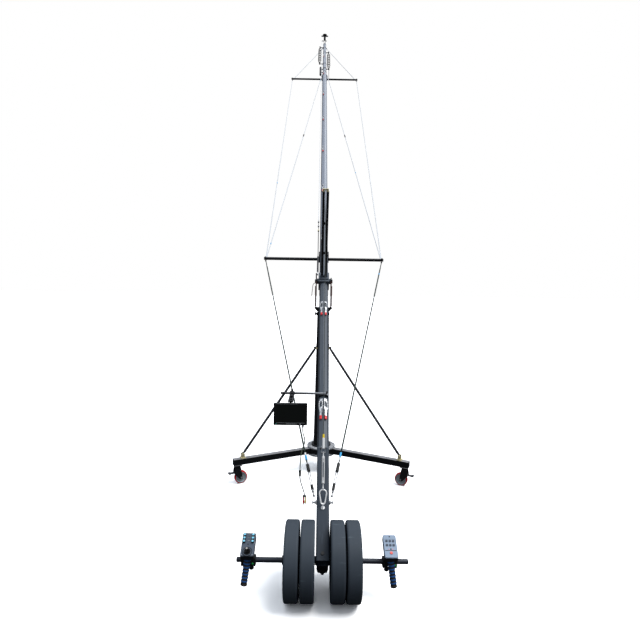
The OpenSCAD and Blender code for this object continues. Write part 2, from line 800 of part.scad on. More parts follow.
module carabiner() {
    side_r = carabiner_rod + 0.3;
    low = along(side_start, side_end, -1.5);
    high = along(side_end, side_start, -1.5);
    color(steel) stay_axis() {
        translate([0, wide_y, 0]) rotate([0, 0, -pear_angle])
            rotate_extrude(angle = 180 + 2 * pear_angle, $fn = 48)
                translate([wide_bow, 0]) circle(r = carabiner_rod, $fn = 20);
        translate([0, small_y, 0]) rotate([0, 0, 180 + pear_angle])
            rotate_extrude(angle = 180 - 2 * pear_angle, $fn = 48)
                translate([small_bow, 0]) circle(r = carabiner_rod, $fn = 20);
        rod([-low[0], low[1], 0], [-high[0], high[1], 0], side_r);
        rod(low, along(side_start, side_end, gate_stub), side_r);
        rod(along(side_end, side_start, gate_stub), high, side_r);
    }
}

module carabiner_gate() {
    r = carabiner_rod - 0.4;
    color([0.6, 0.6, 0.62]) stay_axis() {
        translate(gate_hinge) cylinder(r = r, h = 2 * r, center = true);
        rod(gate_hinge, along(side_end, side_start, gate_stub + seat_gap), r - 0.2);
    }
}

// Tail

block_half = 32;

module tail_block() {
    low = -bar_drop - bar_r - 12;
    top = -tail_side / 2 - seat_gap;
    color(black) on_boom() difference() {
        translate([-block_half, tail_u - 2, low]) cube([2 * block_half, 78, top - low]);
        translate([0, bar_u, -bar_drop]) x_bar(bar_r + run_gap, 80);
        translate([-40, tail_u - 4, -bar_drop - 1]) cube([80, bar_back + 4, 2]);
        translate([0, knob_u, low - 1]) cylinder(r = tail_bolt_r + run_gap, h = 60);
    }
    // Two cap screws over the tube and the long bolt of the knob
    color(steel) on_boom() {
        translate([0, bar_u, tail_side / 2 + seat_gap]) cylinder(r = 9, h = 6);
        translate([0, bar_u, top - 4]) cylinder(r = tail_bolt_r, h = tail_side / 2 + 5 - top);
    }
}

knob_top = -bar_drop - bar_r - 12 - seat_gap;
knob_u = tail_u + 10;

module star_knob() {
    color(black) on_boom() translate([0, knob_u, knob_top]) mirror([0, 0, 1]) {
        translate([0, 0, -40]) cylinder(r = tail_bolt_r, h = 44);
        cylinder(r = 12, h = 7);
        translate([0, 0, 6]) difference() {
            cylinder(r = 31, h = 17);
            for (a = [0:60:300]) rotate([0, 0, a]) translate([36, 0, -1]) cylinder(r = 11, h = 20);
        }
    }
}

module on_bar() {
    on_boom() translate([0, bar_u, -bar_drop]) rotate([-boom_angle, 0, 0]) children();
}

module weight_bar() {
    color([0.35, 0.35, 0.36]) on_bar() {
        x_bar(bar_r, 2 * (left_box_x + 20));
        x_bar(bar_r - 0.5, bar_len - 6);
        for (s = [-1, 1]) translate([s * (bar_len / 2 - 3), 0, 0]) rotate([0, s * 90, 0])
            cylinder(r1 = bar_r - 0.5, r2 = bar_r - 3, h = 3);
    }
}

module weight_plates() {
    h = plate_t / 2;
    color([0.2, 0.21, 0.23]) on_bar()
        for (x = [-outer_plate_x, -inner_plate_x, inner_plate_x, outer_plate_x])
            translate([x, 0, 0]) rotate([0, 90, 0]) rotate_extrude($fn = 120) polygon([
                [bar_r + seat_gap, -h], [46, -h], [54, -h + 14], [plate_r - 52, -h + 14],
                [plate_r - 42, -h], [plate_r - 10, -h], [plate_r - 3, -h + 3], [plate_r, -h + 10],
                [plate_r, h - 10], [plate_r - 3, h - 3], [plate_r - 10, h], [plate_r - 42, h],
                [plate_r - 52, h - 14], [54, h - 14], [46, h], [bar_r + seat_gap, h]]);
}

module bar_clamps() {
    // Rings along the bar, each from one distance to another
    rings = [
        [block_half + seat_gap, inner_plate_x - plate_t / 2 - seat_gap],
        [inner_plate_x + plate_t / 2 + seat_gap, outer_plate_x - plate_t / 2 - seat_gap],
        [outer_plate_x + plate_t / 2 + seat_gap, outer_plate_x + plate_t / 2 + 16]];
    color(black) on_bar() {
        for (s = [-1, 1]) {
            for (e = rings) translate([s * (e[0] + e[1]) / 2, 0, 0]) rotate([0, 90, 0]) difference() {
                cylinder(r = bar_r + 9, h = e[1] - e[0], center = true);
                cylinder(r = bar_r + run_gap, h = 30, center = true);
            }
            // Clamps that carry a box above and a grip in front
            translate([box_at(s), 0, 0]) difference() {
                union() {
                    x_bar(bar_r + 9, 36);
                    translate([-18, -14, 0]) cube([36, 28, box_lift + 3]);
                    translate([-10, grip_y - 12, grip_top + 5]) cube([20, -grip_y, 14]);
                    translate([0, grip_y, grip_top]) rotate([grip_tip_angle, s * -7, 0])
                        translate([0, 0, seat_gap]) cylinder(r = 9, h = 8);
                    translate([0, bar_r + 6, 6]) rotate([-90, 0, 0]) cylinder(r = 7, h = 16);
                }
                x_bar(bar_r + run_gap, 60);
                translate([-30, 0, box_lift]) rotate([box_slope, 0, 0])
                    translate([0, -80, 0]) cube([60, 160, 60]);
            }
        }
    }
}
grip_tip_angle = -12;
grip_y = -bar_r - grip_r - 3.5;
grip_top = bar_r + 17;
// Height of the boxes over the bar, so that their low edges clear the grips
box_lift = grip_top + 6 + (grip_r - grip_y) * tan(box_slope);

function box_at(s) = s < 0 ? -left_box_x : right_box_x;

// Control box frame: x right, y up the slope, z out of the face
module on_box(s) {
    on_bar() translate([box_at(s), 0, box_lift]) rotate([box_slope, 0, 0])
        translate([0, 0, seat_gap]) children();
}

module box_shell() {
    linear_extrude(box_d - 4) round_rect(box_w, box_l, 7);
    translate([0, 0, box_d - 4 - 0.01]) linear_extrude(4) round_rect(box_w - 4, box_l - 4, 6);
}

function box_y(b) = b - box_l / 2;
stick_b = 24;
stick_well_r = 15;
knob_rows = [117.5, 98, 79];
knob_x = 23;
key_rows = [96.5, 72.5];
button_b = 27;
key_pitch = 18;

module left_control_box() {
    color([0.3, 0.33, 0.38]) on_box(-1) difference() {
        box_shell();
        translate([0, box_y(stick_b), box_d - 20]) cylinder(r = stick_well_r, h = 30);
        for (b = knob_rows, x = [-1, 1]) translate([x * knob_x, box_y(b), box_d - 8])
            cylinder(r = 3 + run_gap, h = 20);
        for (b = [60, 50]) translate([0, box_y(b), box_d - 1]) cylinder(r = 3, h = 4);
    }
}

module right_control_box() {
    color([0.68, 0.74, 0.8]) on_box(1) difference() {
        box_shell();
        translate([0, box_y((key_rows[0] + key_rows[1]) / 2), box_d - 2.5])
            linear_extrude(4) round_rect(60, 46, 4);
        translate([0, box_y(button_b), box_d - 9]) cylinder(r = 8 + seat_gap, h = 20);
        translate([0, box_y(122), box_d - 2]) cylinder(r = 4, h = 4);
        translate([0, box_y(49), box_d - 2]) cylinder(r = 4, h = 4);
        translate([0, box_y(41), box_d]) cube([box_w + 2, 1.2, 2], center = true);
    }
}

module keypad() {
    color([0.12, 0.12, 0.13]) on_box(1)
        translate([0, box_y((key_rows[0] + key_rows[1]) / 2), box_d - 2.5 + 0.01]) {
            linear_extrude(1.5) round_rect(60 - 2 * seat_gap, 46 - 2 * seat_gap, 4);
            for (x = [-1, 0, 1], y = [-1, 1])
                translate([x * key_pitch, y * (key_rows[0] - key_rows[1]) / 2, 1.4])
                    linear_extrude(3.6) round_rect(12, 12, 3);
        }
}

module record_button() {
    color(red) on_box(1) translate([0, box_y(button_b), box_d - 6]) {
        cylinder(r = 8 - 0.1, h = 8);
        translate([0, 0, 8]) cylinder(r1 = 7.9, r2 = 6.5, h = 1.5);
    }
}

module control_knob(k) {
    b = knob_rows[floor(k / 2)];
    x = (k % 2) * 2 - 1;
    on_box(-1) translate([x * knob_x, box_y(b), box_d]) {
        color(black) {
            translate([0, 0, -7]) cylinder(r = 3, h = 9);
            translate([0, 0, seat_gap]) cylinder(r1 = knob_d / 2 + 1, r2 = knob_d / 2, h = 9);
        }
        color([0.35, 0.75, 0.9]) translate([0, 0, 9]) cylinder(r = knob_d / 2 - 0.6, h = 3.3);
        color("white") translate([0, knob_d / 4 + 0.4, 11]) cube([1.2, knob_d / 2 - 2, 3.2], center = true);
    }
}

stick_pivot_z = box_d - 6;

module joystick_gimbal() {
    color([0.2, 0.2, 0.2]) on_box(-1) translate([0, box_y(stick_b), stick_pivot_z]) {
        difference() {
            cylinder(r = 11, h = 4, center = true);
            cylinder(r = 8.5, h = 10, center = true);
        }
        for (s = [-1, 1]) translate([s * (12.7), 0, 0]) x_bar(1.5, 4);
    }
}

module joystick() {
    color(black) on_box(-1) translate([0, box_y(stick_b), stick_pivot_z]) {
        sphere(r = 6, $fn = 32);
        rotate([90, 0, 0]) cylinder(r = 1.5, h = 16.2, center = true);
        cylinder(r = 3, h = 26);
    }
    color([0.8, 0.78, 0.74]) on_box(-1) translate([0, box_y(stick_b), stick_pivot_z + 26]) {
        cylinder(r1 = 4.5, r2 = 6.5, h = 8);
        translate([0, 0, 8]) cylinder(r1 = 6.5, r2 = 4.5, h = 3);
    }
}

module hand_grips() {
    color([0.1, 0.25, 0.5]) on_bar() for (s = [-1, 1])
        translate([box_at(s), grip_y, grip_top]) rotate([grip_tip_angle, s * -7, 0])
            mirror([0, 0, 1]) {
                cylinder(r = grip_r - 2, h = 3);
                translate([0, 0, 3]) cylinder(r = grip_r, h = grip_len - 10);
                translate([0, 0, grip_len - 7]) cylinder(r1 = grip_r, r2 = grip_r - 4, h = 7);
            }
}

// Latches

latch_start = 90;
pivot_y = 60;
pivot_h = 9;

// Places a child on the upper left or right flat, at a section joint
module on_flat(i, s, r) {
    on_boom() translate([0, joint_u(i) - latch_start, 0]) rotate([0, s * 22.5, 0])
        translate([0, 0, r * oct_flat]) children();
}

module latch_base(i, s, r, next_r) {
    fit = seat_gap;
    step = (r - next_r) * oct_flat;
    color(steel) on_flat(i, s, r) {
        // Bracket behind the joint
        translate([-9, pivot_y - 22, fit]) cube([18, 46, 2]);
        for (e = [-1, 1]) difference() {
            translate([e * 8 - 1, pivot_y - 8, fit]) cube([2, 16, pivot_h + 5]);
            translate([0, pivot_y, pivot_h]) x_bar(2 + run_gap, 30);
        }
        // Catch ahead of the joint
        translate([-10, 118, fit - step]) cube([20, 32, 2 + step]);
        translate([-7, 126, fit]) cube([14, 4, 12]);
        translate([-7, 122, fit + 9]) cube([14, 7, 3]);
    }
    // Wire bail from the lever's cheeks over the joint to the catch
    color(steel) on_flat(i, s, r) {
        for (e = [-1, 1]) translate([e * 11, pivot_y + 4, pivot_h + 1]) rotate([-90, 0, 0])
            cylinder(r = 1.5, h = 72 - 9);
        translate([0, pivot_y + 66, pivot_h - 4 + 5]) x_bar(1.5, 22);
        for (e = [-1, 1]) translate([e * 10, pivot_y + 4, pivot_h + 1]) x_bar(1.5, 5);
    }
}

module latch_lever(i, s, r) {
    on_flat(i, s, r) translate([0, pivot_y, pivot_h]) {
        color(steel) {
            x_bar(2, 18 + 2);
            x_bar(4.5, 13);
            translate([-6, -56, -1.5]) cube([12, 56, 4]);
            translate([-6, -26, 0]) cube([12, 30, 6]);
        }
        color(red) translate([0, -54, 0.5]) rotate([90, 0, 0]) linear_extrude(27)
            round_rect(15, 9, 4);
    }
}

module latch_rear_left() { latch_lever(0, -1, boom_r); }
module latch_rear_right() { latch_lever(0, 1, boom_r); }
module latch_mid_left() { latch_lever(1, -1, boom_r); }
module latch_mid_right() { latch_lever(1, 1, boom_r); }

module far_latches() {
    for (i = [0, 1], s = [-1, 1]) latch_base(i, s, boom_r, boom_r);
    for (i = [2:sections]) {
        latch_base(i, -1, section_r(i - 1), i < sections ? section_r(i) : tip_r);
        latch_lever(i, -1, section_r(i - 1));
    }
}

// Levelling cable and head

level_u = level_rise * sin(boom_angle);
level_w = level_rise * cos(boom_angle);

module levelling_cable() {
    p = [-level_x, level_u, level_w];
    q = [-level_x, head_u + level_u, level_w];
    color(steel) on_boom() {
        for (e = [[p, run_gap], [q, seat_gap]]) translate(e[0]) difference() {
            x_bar(10, 6);
            x_bar(level_pin_r + e[1], 10);
        }
        rod(along(p, q, 9), along(p, q, 40), 4);
        rod(along(q, p, 9), along(q, p, 60), 4);
        for (d = [690, 770, 850]) translate(along(p, q, d)) cube([14, 16, 16], center = true);
    }
    color(black) on_boom() {
        rod(along(p, q, 36), along(p, q, 260), 8);
        rod(along(p, q, 250), along(p, q, 700), cable_r + 1);
    }
    color([0.3, 0.3, 0.31]) on_boom() rod(along(p, q, 255), along(q, p, 50), cable_r);
}

ear_in = lug_half + seat_gap;
ear_w = 8;

module head_mount() {
    color(black) upright_at([0, head_u, 0]) {
        difference() {
            union() {
                for (s = [-1, 1]) translate([s * (ear_in + ear_w / 2), 0, 0]) {
                    x_bar(15, ear_w);
                    translate([-ear_w / 2, -15, 0]) cube([ear_w, 30, level_rise + 24]);
                }
                translate([-ear_in - ear_w, -15, level_rise + 10])
                    cube([2 * (ear_in + ear_w), 30, 14]);
                translate([0, 0, level_rise + 20]) cylinder(r = 20, h = head_rise - level_rise - 26);
                translate([-head_arm / 2, -12, head_rise - 36]) cube([head_arm, 24, 14]);
                translate([0, 0, head_rise - 10]) cylinder(r = head_plate_r, h = 10);
            }
            for (a = [45:90:315]) rotate([0, 0, a]) translate([head_bolt_pcd / 2, 0, head_rise - 20])
                cylinder(r = head_bolt_r, h = 30);
            translate([0, 0, head_rise - 30]) cylinder(r = 5, h = 40);
        }
        x_bar(head_pin_r, 2 * (ear_in + ear_w) + 8);
        for (s = [-1, 1]) translate([s * (ear_in + ear_w + 3), 0, 0]) x_bar(9, 5);
        translate([-level_x - 6, 0, level_rise]) rotate([0, 90, 0])
            cylinder(r = level_pin_r, h = level_x + 6 - ear_in);
        translate([ear_in, 0, level_rise]) rotate([0, 90, 0]) cylinder(r = 7, h = 32);
        translate([-level_x + 4, 0, level_rise]) rotate([0, 90, 0])
            cylinder(r = 7, h = level_x - 4 - ear_in);
    }
}
head_arm = 132;
head_bolt_pcd = 64;
head_bolt_r = 4.25;

// Monitor

rod_w = boom_r + rod_r + 6;
rod_left = -292;
monitor_x = -213;
bracket_drop = 11;
bracket_rise = 12;

module monitor_arm() {
    color(steel) on_boom() translate([0, -monitor_back, rod_w]) {
        translate([rod_left, 0, 0]) rotate([0, 90, 0]) cylinder(r = rod_r, h = -rod_left + 20);
        difference() {
            translate([-34, -11, 12 - rod_w]) cube([68, 22, rod_w - 12 - rod_r + 2]);
            translate([0, -15, -rod_w]) rotate([-90, 0, 0]) linear_extrude(30)
                circle(r = boom_r + seat_gap / oct_flat, $fn = 8);
        }
        translate([24, 0, 4]) cylinder(r = 7, h = 16);
    }
    color(black) upright_at([monitor_x, -monitor_back, rod_w]) {
        difference() {
            union() {
                x_bar(rod_r + 7, 34);
                // Forked arm out to the monitor's pivot
                for (s = [-1, 1]) {
                    translate([s * 13 - 3, -monitor_reach, -bracket_drop - 9])
                        cube([6, monitor_reach - rod_r - 2, 18]);
                    translate([s * 13, -monitor_reach, -bracket_drop]) x_bar(9, 6);
                    translate([s * 13 - 3, -rod_r - 22, -bracket_drop - 9]) cube([6, 20, 26]);
                }
                translate([-16, -monitor_reach + 30, -bracket_drop - 9]) cube([32, 16, 18]);
                translate([-16, -60, -bracket_drop - 9]) cube([32, 40, 18]);
            }
            x_bar(rod_r + seat_gap, 60);
            translate([0, -monitor_reach, -bracket_drop]) x_bar(4 + run_gap, 60);
        }
        translate([0, 0, rod_r + 6]) cylinder(r = 8, h = 14);
    }
}

module at_monitor() {
    upright_at([monitor_x, -monitor_back, rod_w]) translate([0, -monitor_reach, -bracket_drop])
        children();
}

module monitor() {
    color([0.05, 0.05, 0.055]) at_monitor() {
        x_bar(4, 36);
        x_bar(8, 19);
        translate([-7, -4, -bracket_rise - 4]) cube([14, 8, bracket_rise + 2]);
        translate([0, 2, -bracket_rise - monitor_h / 2]) rotate([90, 0, 0]) difference() {
            union() {
                translate([0, 0, -monitor_d / 2]) linear_extrude(monitor_d - 8)
                    round_rect(monitor_w - 10, monitor_h - 10, 8);
                translate([0, 0, monitor_d / 2 - 20]) linear_extrude(20)
                    round_rect(monitor_w, monitor_h, 6);
            }
            translate([0, 3, monitor_d / 2 - 3]) linear_extrude(6)
                round_rect(monitor_w - 26, monitor_h - 30, 3);
        }
    }
}

// Leads

// Route of the picture lead from the monitor's underside, in the monitor's frame
lead_route = [
    [0, 0, 0], [0, 0, -18], [2, 5, -40], [7.5, 13, -62], [13, 20, -84], [12.5, 24, -106],
    [5.5, 25, -132], [-3, 22, -155], [-9, 15, -185], [-12, 7, -215], [-14, 1, -245],
    [-15, -3, -275], [-15, -3, -330], [-12, -4, -352], [-5, -6, -378], [4, -8, -405],
    [12, -9.5, -428], [15.5, -10, -442], [16, -10, -452]];
lead_end = lead_route[len(lead_route) - 1];
lead_x = 81;
lead_boot = 17.7;
plug_pitch = 12;
plug_step = 3;

function ring(p, t, r, n) = let(
    side = cross(t, abs(t[1]) < 0.9 ? [0, 1, 0] : [1, 0, 0]),
    a = side / norm(side),
    b = cross(t, a))
    [for (k = [0:n - 1]) p + r * (cos(360 * k / n) * a + sin(360 * k / n) * b)];
function tangent(path, i) = let(
    m = len(path) - 1,
    d = path[min(i + 1, m)] - path[max(i - 1, 0)])
    d / norm(d);

// Tube of n sides swept along the points of a path
module tube(path, r, n) {
    m = len(path);
    points = [for (i = [0:m - 1]) each ring(path[i], tangent(path, i), r, n)];
    sides = [for (i = [0:m - 2], k = [0:n - 1]) let(
        a = i * n + k, b = i * n + (k + 1) % n, c = a + n, d = b + n)
        each [[a, b, d], [a, d, c]]];
    ends = [for (k = [1:n - 2]) each [[0, k + 1, k], [(m - 1) * n, (m - 1) * n + k, (m - 1) * n + k + 1]]];
    polyhedron(points, concat(sides, ends));
}

module at_lead() {
    at_monitor() translate([lead_x, 0, -bracket_rise - monitor_h - lead_boot - seat_gap]) children();
}

module picture_lead() {
    color([0.35, 0.4, 0.36]) at_lead() tube(lead_route, lead_d / 2, 8);
}

module lead_plugs() {
    at_lead() {
        color(black) translate([0, 0, 0.01]) cylinder(r = 6, h = lead_boot);
        color(black) translate([-15, -3, -324]) difference() {
            cylinder(r = 7.5, h = 38);
            translate([0, 0, -1]) cylinder(r = lead_d / 2 + seat_gap, h = 40);
        }
        for (k = [0, 1]) translate([lead_end[0] + plug_pitch * (k - 0.5), lead_end[1], plug_step * k]) {
            color(black) translate([0, 0, -491]) cylinder(r = 4.6, h = 30 - plug_step * k);
            color(k == 0 ? "red" : "gold") translate([0, 0, -507]) cylinder(r = 5.6, h = 16.5);
            color(steel) translate([0, 0, -516]) cylinder(r = 3.5, h = 9.5);
        }
        color(black) translate(lead_end - [0, 0, seat_gap + 5.5]) cube([24, 9, 11], center = true);
    }
}

// Cut end of the levelling cable, hanging outside the left yoke plate
tail_route = [
    [0, 0, 0], [-5, 0, 0], [-11, 0, -1.5], [-16.5, 0, -5], [-20.5, 0, -10], [-23, 0, -17],
    [-24.5, 0, -26], [-26, 0, -40], [-28, 0, -60], [-30, 0, -80], [-32, 0, -100],
    [-33.5, 0, -120], [-35, 0, -140], [-36.5, 0, -158], [-37.5, 0, -176]];

module cable_tail() {
    color([0.35, 0.35, 0.36])
        translate([-yoke_gap / 2 - yoke_t - seat_gap, -26, axle_h - 16]) tube(tail_route, cable_r, 8);
}

// Curly cords beside the foremost section

curl_left = [-90, 6190, 20];
curl_right = [74, 5915, 10];
curl_len_left = 968;
curl_len_right = 928;
curl_rings = 8;
curl_lead_in = 30;
drum = [-68, last_joint_u - section_len - 35, 0];
drum_r = 19;
drum_len = 380;

function curl_path(p, len) = let(
    n = curl_turns * curl_rings,
    body = len - 2 * curl_lead_in - 2 * curl_cord_d)
    concat(
        [p, p + [0, curl_cord_d, 0]],
        [for (i = [0:n]) let(
            a = 360 * i / curl_rings,
            f = min(1, min(i, n - i) / (curl_rings / 2)))
            p + [curl_r * f * sin(a), curl_lead_in + curl_cord_d + body * i / n, curl_r * f * cos(a)]],
        [p + [0, len - curl_cord_d, 0], p + [0, len, 0]]);

// Least distance between points of a coil that lie a turn or more apart, less the cord
function self_gap(path) = min([for (i = [2:len(path) - 3], j = [i + curl_rings - 2:len(path) - 3])
    norm(path[i] - path[j])]) - curl_cord_d;
echo(curly_cord_gap_mm = self_gap(curl_path([0, 0, 0], curl_len_right)));

module curly_cord_left() {
    color(black) on_boom() tube(curl_path(curl_left, curl_len_left), curl_cord_d / 2, 6);
}

module curly_cord_right() {
    color(black) on_boom() tube(curl_path(curl_right, curl_len_right), curl_cord_d / 2, 6);
}

// Connector shell along y that ends at a point, facing forwards or back
module connector(p, s) {
    translate(p) rotate([-90 * s, 0, 0]) {
        cylinder(r = 7, h = 14);
        translate([0, 0, 12]) cylinder(r = 10, h = 34);
        translate([0, 0, 46]) cylinder(r = 12, h = 8);
    }
}

// Strap round a tube of corner radius r, with an arm out to a connector
module connector_strap(p, s, r) {
    y = p[1] - s * 30;
    translate([0, y - 8, 0]) rotate([-90, 0, 0]) linear_extrude(16) difference() {
        circle(r = r + 4, $fn = 8);
        circle(r = r + seat_gap / oct_flat, $fn = 8);
    }
    side = sign(p[0]);
    translate([side * (r + abs(p[0])) / 2, y, p[2] / 2 + 3])
        cube([abs(p[0]) - r, 16, 10], center = true);
}

module tip_connectors() {
    color(black) on_boom()
        for (c = [
            [curl_left, -1, fore_r], [curl_left + [0, curl_len_left, 0], 1, tip_r],
            [curl_right, -1, fore_r], [curl_right + [0, curl_len_right, 0], 1, tip_r]]) {
            connector(c[0], c[1]);
            connector_strap(c[0], -c[1], c[2]);
        }
    color(black) on_boom() {
        // Drum of the wiring, held by two straps
        translate(drum) rotate([-90, 0, 0]) cylinder(r = drum_r, h = drum_len);
        translate(drum - [0, 8, 0]) rotate([-90, 0, 0]) cylinder(r = drum_r - 4, h = drum_len + 16);
        for (d = [120, 300]) connector_strap(drum + [0, d + 30, -6], 1, fore_r);
        // Conduit from the right cord back to the crossbar
        rod(curl_right - [0, 50, 0], [curl_right[0], upper_bar_u + 14, upper_w + 14], 4);
    }
}

hub();
column();
legs();
braces();
brace_clevises();
caster_fork(0);  // caster_fork_left
caster_fork(1);  // caster_fork_right
caster_fork(2);  // caster_fork_front
caster_wheel(0);  // caster_wheel_left
caster_wheel(1);  // caster_wheel_right
caster_wheel(2);  // caster_wheel_front
brake_pedal(0);  // brake_pedal_left
brake_pedal(1);  // brake_pedal_right
brake_pedal(2);  // brake_pedal_front
yoke();
tilt_axle();
pan_lock();
tail_tube();
boom_sections();
tip_tube();
pivot_block();
king_post();
crossbars();
stays();
stay_hardware();
cable_tail();
carabiner();
carabiner_gate();
tail_block();
star_knob();
weight_bar();
weight_plates();
bar_clamps();
left_control_box();
right_control_box();
hand_grips();
joystick_gimbal();
joystick();
control_knob(0);  // control_knob_1
control_knob(1);  // control_knob_2
control_knob(2);  // control_knob_3
control_knob(3);  // control_knob_4
control_knob(4);  // control_knob_5
control_knob(5);  // control_knob_6
keypad();
record_button();
latch_rear_left();
latch_rear_right();
latch_mid_left();
latch_mid_right();
far_latches();
levelling_cable();
head_mount();
monitor_arm();
monitor();
picture_lead();
lead_plugs();
curly_cord_left();
curly_cord_right();
tip_connectors();
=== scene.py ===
import math

import bmesh
import bpy
from mathutils import Matrix, Vector


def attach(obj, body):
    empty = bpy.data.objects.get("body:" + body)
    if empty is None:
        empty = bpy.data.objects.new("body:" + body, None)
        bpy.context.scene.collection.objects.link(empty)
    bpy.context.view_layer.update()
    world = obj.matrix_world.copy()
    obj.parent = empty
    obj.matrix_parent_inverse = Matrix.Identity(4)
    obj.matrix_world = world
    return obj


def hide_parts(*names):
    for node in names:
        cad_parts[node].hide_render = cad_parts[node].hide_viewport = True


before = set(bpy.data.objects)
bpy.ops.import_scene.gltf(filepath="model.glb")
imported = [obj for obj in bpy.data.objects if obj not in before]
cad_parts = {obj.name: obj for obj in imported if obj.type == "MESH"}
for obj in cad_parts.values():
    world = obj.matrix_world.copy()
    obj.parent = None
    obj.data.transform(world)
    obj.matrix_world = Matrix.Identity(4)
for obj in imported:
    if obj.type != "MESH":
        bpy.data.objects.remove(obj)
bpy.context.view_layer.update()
print("frame loaded:", len(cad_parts), "nodes")


def moved(x, y, z):
    return Matrix.Translation((x, y, z))


def turned(degrees, axis):
    return Matrix.Rotation(math.radians(degrees), 4, axis)


# The crane's own sizes, in metres and degrees
crane = {
    "axleHeight": 1.697,
    "boomAngle": 38.47382,
    "rearJoint": -1.365,
    "sectionLength": 1.0,
    "farSections": 1.2,
    "postFoot": 0.075,
    "barPlace": (-2.321, -0.060),
}
boomFrame = moved(0, 0, crane["axleHeight"]) @ turned(crane["boomAngle"], "X")
toBoom = boomFrame.inverted()


def onBoom(x, along, up):  # a point given beside the boom
    return boomFrame @ Vector((x, along, up))


barFrame = Matrix.Translation(onBoom(0, *crane["barPlace"]))

# Camera, where the photographer stood
photo = {
    "width": 640,
    "focalPixels": 487.2,
    "sensor": 36,
    "farthest": 80,
    "place": (-0.0408, -4.2954, 1.7381),
    "yaw": 0.18,
    "pitch": -5.028,
    "roll": 0.879,
}


def placeCamera():
    data = bpy.data.cameras.new("photoCamera")
    data.sensor_width = photo["sensor"]
    data.lens = photo["focalPixels"] * photo["sensor"] / photo["width"]
    data.clip_end = photo["farthest"]
    camera = bpy.data.objects.new("photoCamera", data)
    yaw, pitch, roll = (math.radians(photo[k]) for k in ("yaw", "pitch", "roll"))
    level = math.cos(pitch)
    ahead = Vector((math.sin(yaw) * level, math.cos(yaw) * level, math.sin(pitch)))
    beside = Vector((math.cos(yaw), -math.sin(yaw), 0))
    above = beside.cross(ahead)
    right = math.cos(roll) * beside + math.sin(roll) * above
    up = math.cos(roll) * above - math.sin(roll) * beside
    turn = Matrix((right, up, -ahead)).transposed().to_4x4()
    camera.matrix_world = Matrix.Translation(photo["place"]) @ turn
    bpy.context.scene.collection.objects.link(camera)
    bpy.context.scene.camera = camera


placeCamera()
print("camera placed")


# Cords, on the routes of the solids they stand for

def smoothRoute(points, steps=4):  # a smooth line through the given points
    ends = [2 * points[0] - points[1]] + points + [2 * points[-1] - points[-2]]
    route = []
    for a, b, c, d in zip(ends, ends[1:], ends[2:], ends[3:]):
        for k in range(steps):
            t = k / steps
            route.append(0.5 * (2 * b + t * (c - a) + t * t * (2 * a - 5 * b + 4 * c - d)
                                + t * t * t * (3 * b - a - 3 * c + d)))
    return route + [points[-1]]


def routeLength(points):
    return sum((b - a).length for a, b in zip(points, points[1:]))


def joinRings(mesh, rings, bandFinish=None):  # walls between the rings, and a lid at each end
    count = len(rings[0])
    for level, (low, high) in enumerate(zip(rings, rings[1:])):
        for k in range(count):
            face = mesh.faces.new((low[k], low[(k + 1) % count], high[(k + 1) % count], high[k]))
            face.smooth = True
            if bandFinish:
                face.material_index = bandFinish(level)
    mesh.faces.new(rings[0])
    mesh.faces.new(rings[-1])


def placeMesh(name, mesh):  # an object in the scene, from a finished mesh
    data = bpy.data.meshes.new(name)
    mesh.to_mesh(data)
    mesh.free()
    piece = bpy.data.objects.new(name, data)
    bpy.context.scene.collection.objects.link(piece)
    return piece


def cordAlong(name, points, radius, body, sides=14):  # a tube of round rings along the route
    mesh = bmesh.new()
    ways = [(points[min(i + 1, len(points) - 1)] - points[max(i - 1, 0)]).normalized()
            for i in range(len(points))]
    across = ways[0].orthogonal().normalized()
    rings = []
    for point, way in zip(points, ways):
        across = (across - across.dot(way) * way).normalized()
        beside = way.cross(across)
        rings.append([mesh.verts.new(point + radius * (math.cos(math.tau * k / sides) * across
                                                       + math.sin(math.tau * k / sides) * beside))
                      for k in range(sides)])
    joinRings(mesh, rings)
    bmesh.ops.recalc_face_normals(mesh, faces=mesh.faces)
    cord = placeMesh(name, mesh)
    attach(cord, body)
    return cord


armPlace = onBoom(-0.213, -1.275, 0.0515)  # where the monitor's arm hooks on
lead = {
    "start": armPlace + Vector((0.081, -0.170, -0.185)),
    "radius": 0.0035,
    "joinerDrop": 0.305,
    "route": [  # millimetres from the start
        (0, 0, 0), (0, 0, -18), (2, 5, -40), (7.5, 13, -62), (13, 20, -84), (12.5, 24, -106),
        (5.5, 25, -132), (-3, 22, -155), (-9, 15, -185), (-12, 7, -215), (-14, 1, -245),
        (-15, -3, -275), (-15, -3, -330), (-12, -4, -352), (-5, -6, -378), (4, -8, -405),
        (12, -9.5, -428), (15.5, -10, -442), (16, -10, -452)],
}
leadRoute = smoothRoute([lead["start"] + Vector(p) / 1000 for p in lead["route"]])
pictureLead = cordAlong("pictureLead", leadRoute, lead["radius"], "screen")
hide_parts("picture_lead")
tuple(leadRoute[0])
routeLength(leadRoute)

cableEnd = {
    "start": Vector((-0.0703, -0.026, 1.681)),
    "radius": 0.0025,
    "route": [  # millimetres from the start
        (0, 0, 0), (-5, 0, 0), (-11, 0, -1.5), (-16.5, 0, -5), (-20.5, 0, -10), (-23, 0, -17),
        (-24.5, 0, -26), (-26, 0, -40), (-28, 0, -60), (-30, 0, -80), (-32, 0, -100),
        (-33.5, 0, -120), (-35, 0, -140), (-36.5, 0, -158), (-37.5, 0, -176)],
}
cableRoute = smoothRoute([cableEnd["start"] + Vector(p) / 1000 for p in cableEnd["route"]])
cableTail = cordAlong("cableTail", cableRoute, cableEnd["radius"], "pan_head")
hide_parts("cable_tail")
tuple(cableRoute[0])
routeLength(cableRoute)

curl = {
    "radius": 0.022,
    "cord": 0.012,
    "turns": 8,
    "rings": 24,
    "leadIn": 0.030,
    "left": ((-0.090, 6.190, 0.020), 0.968),
    "right": ((0.074, 5.915, 0.010), 0.928),
}


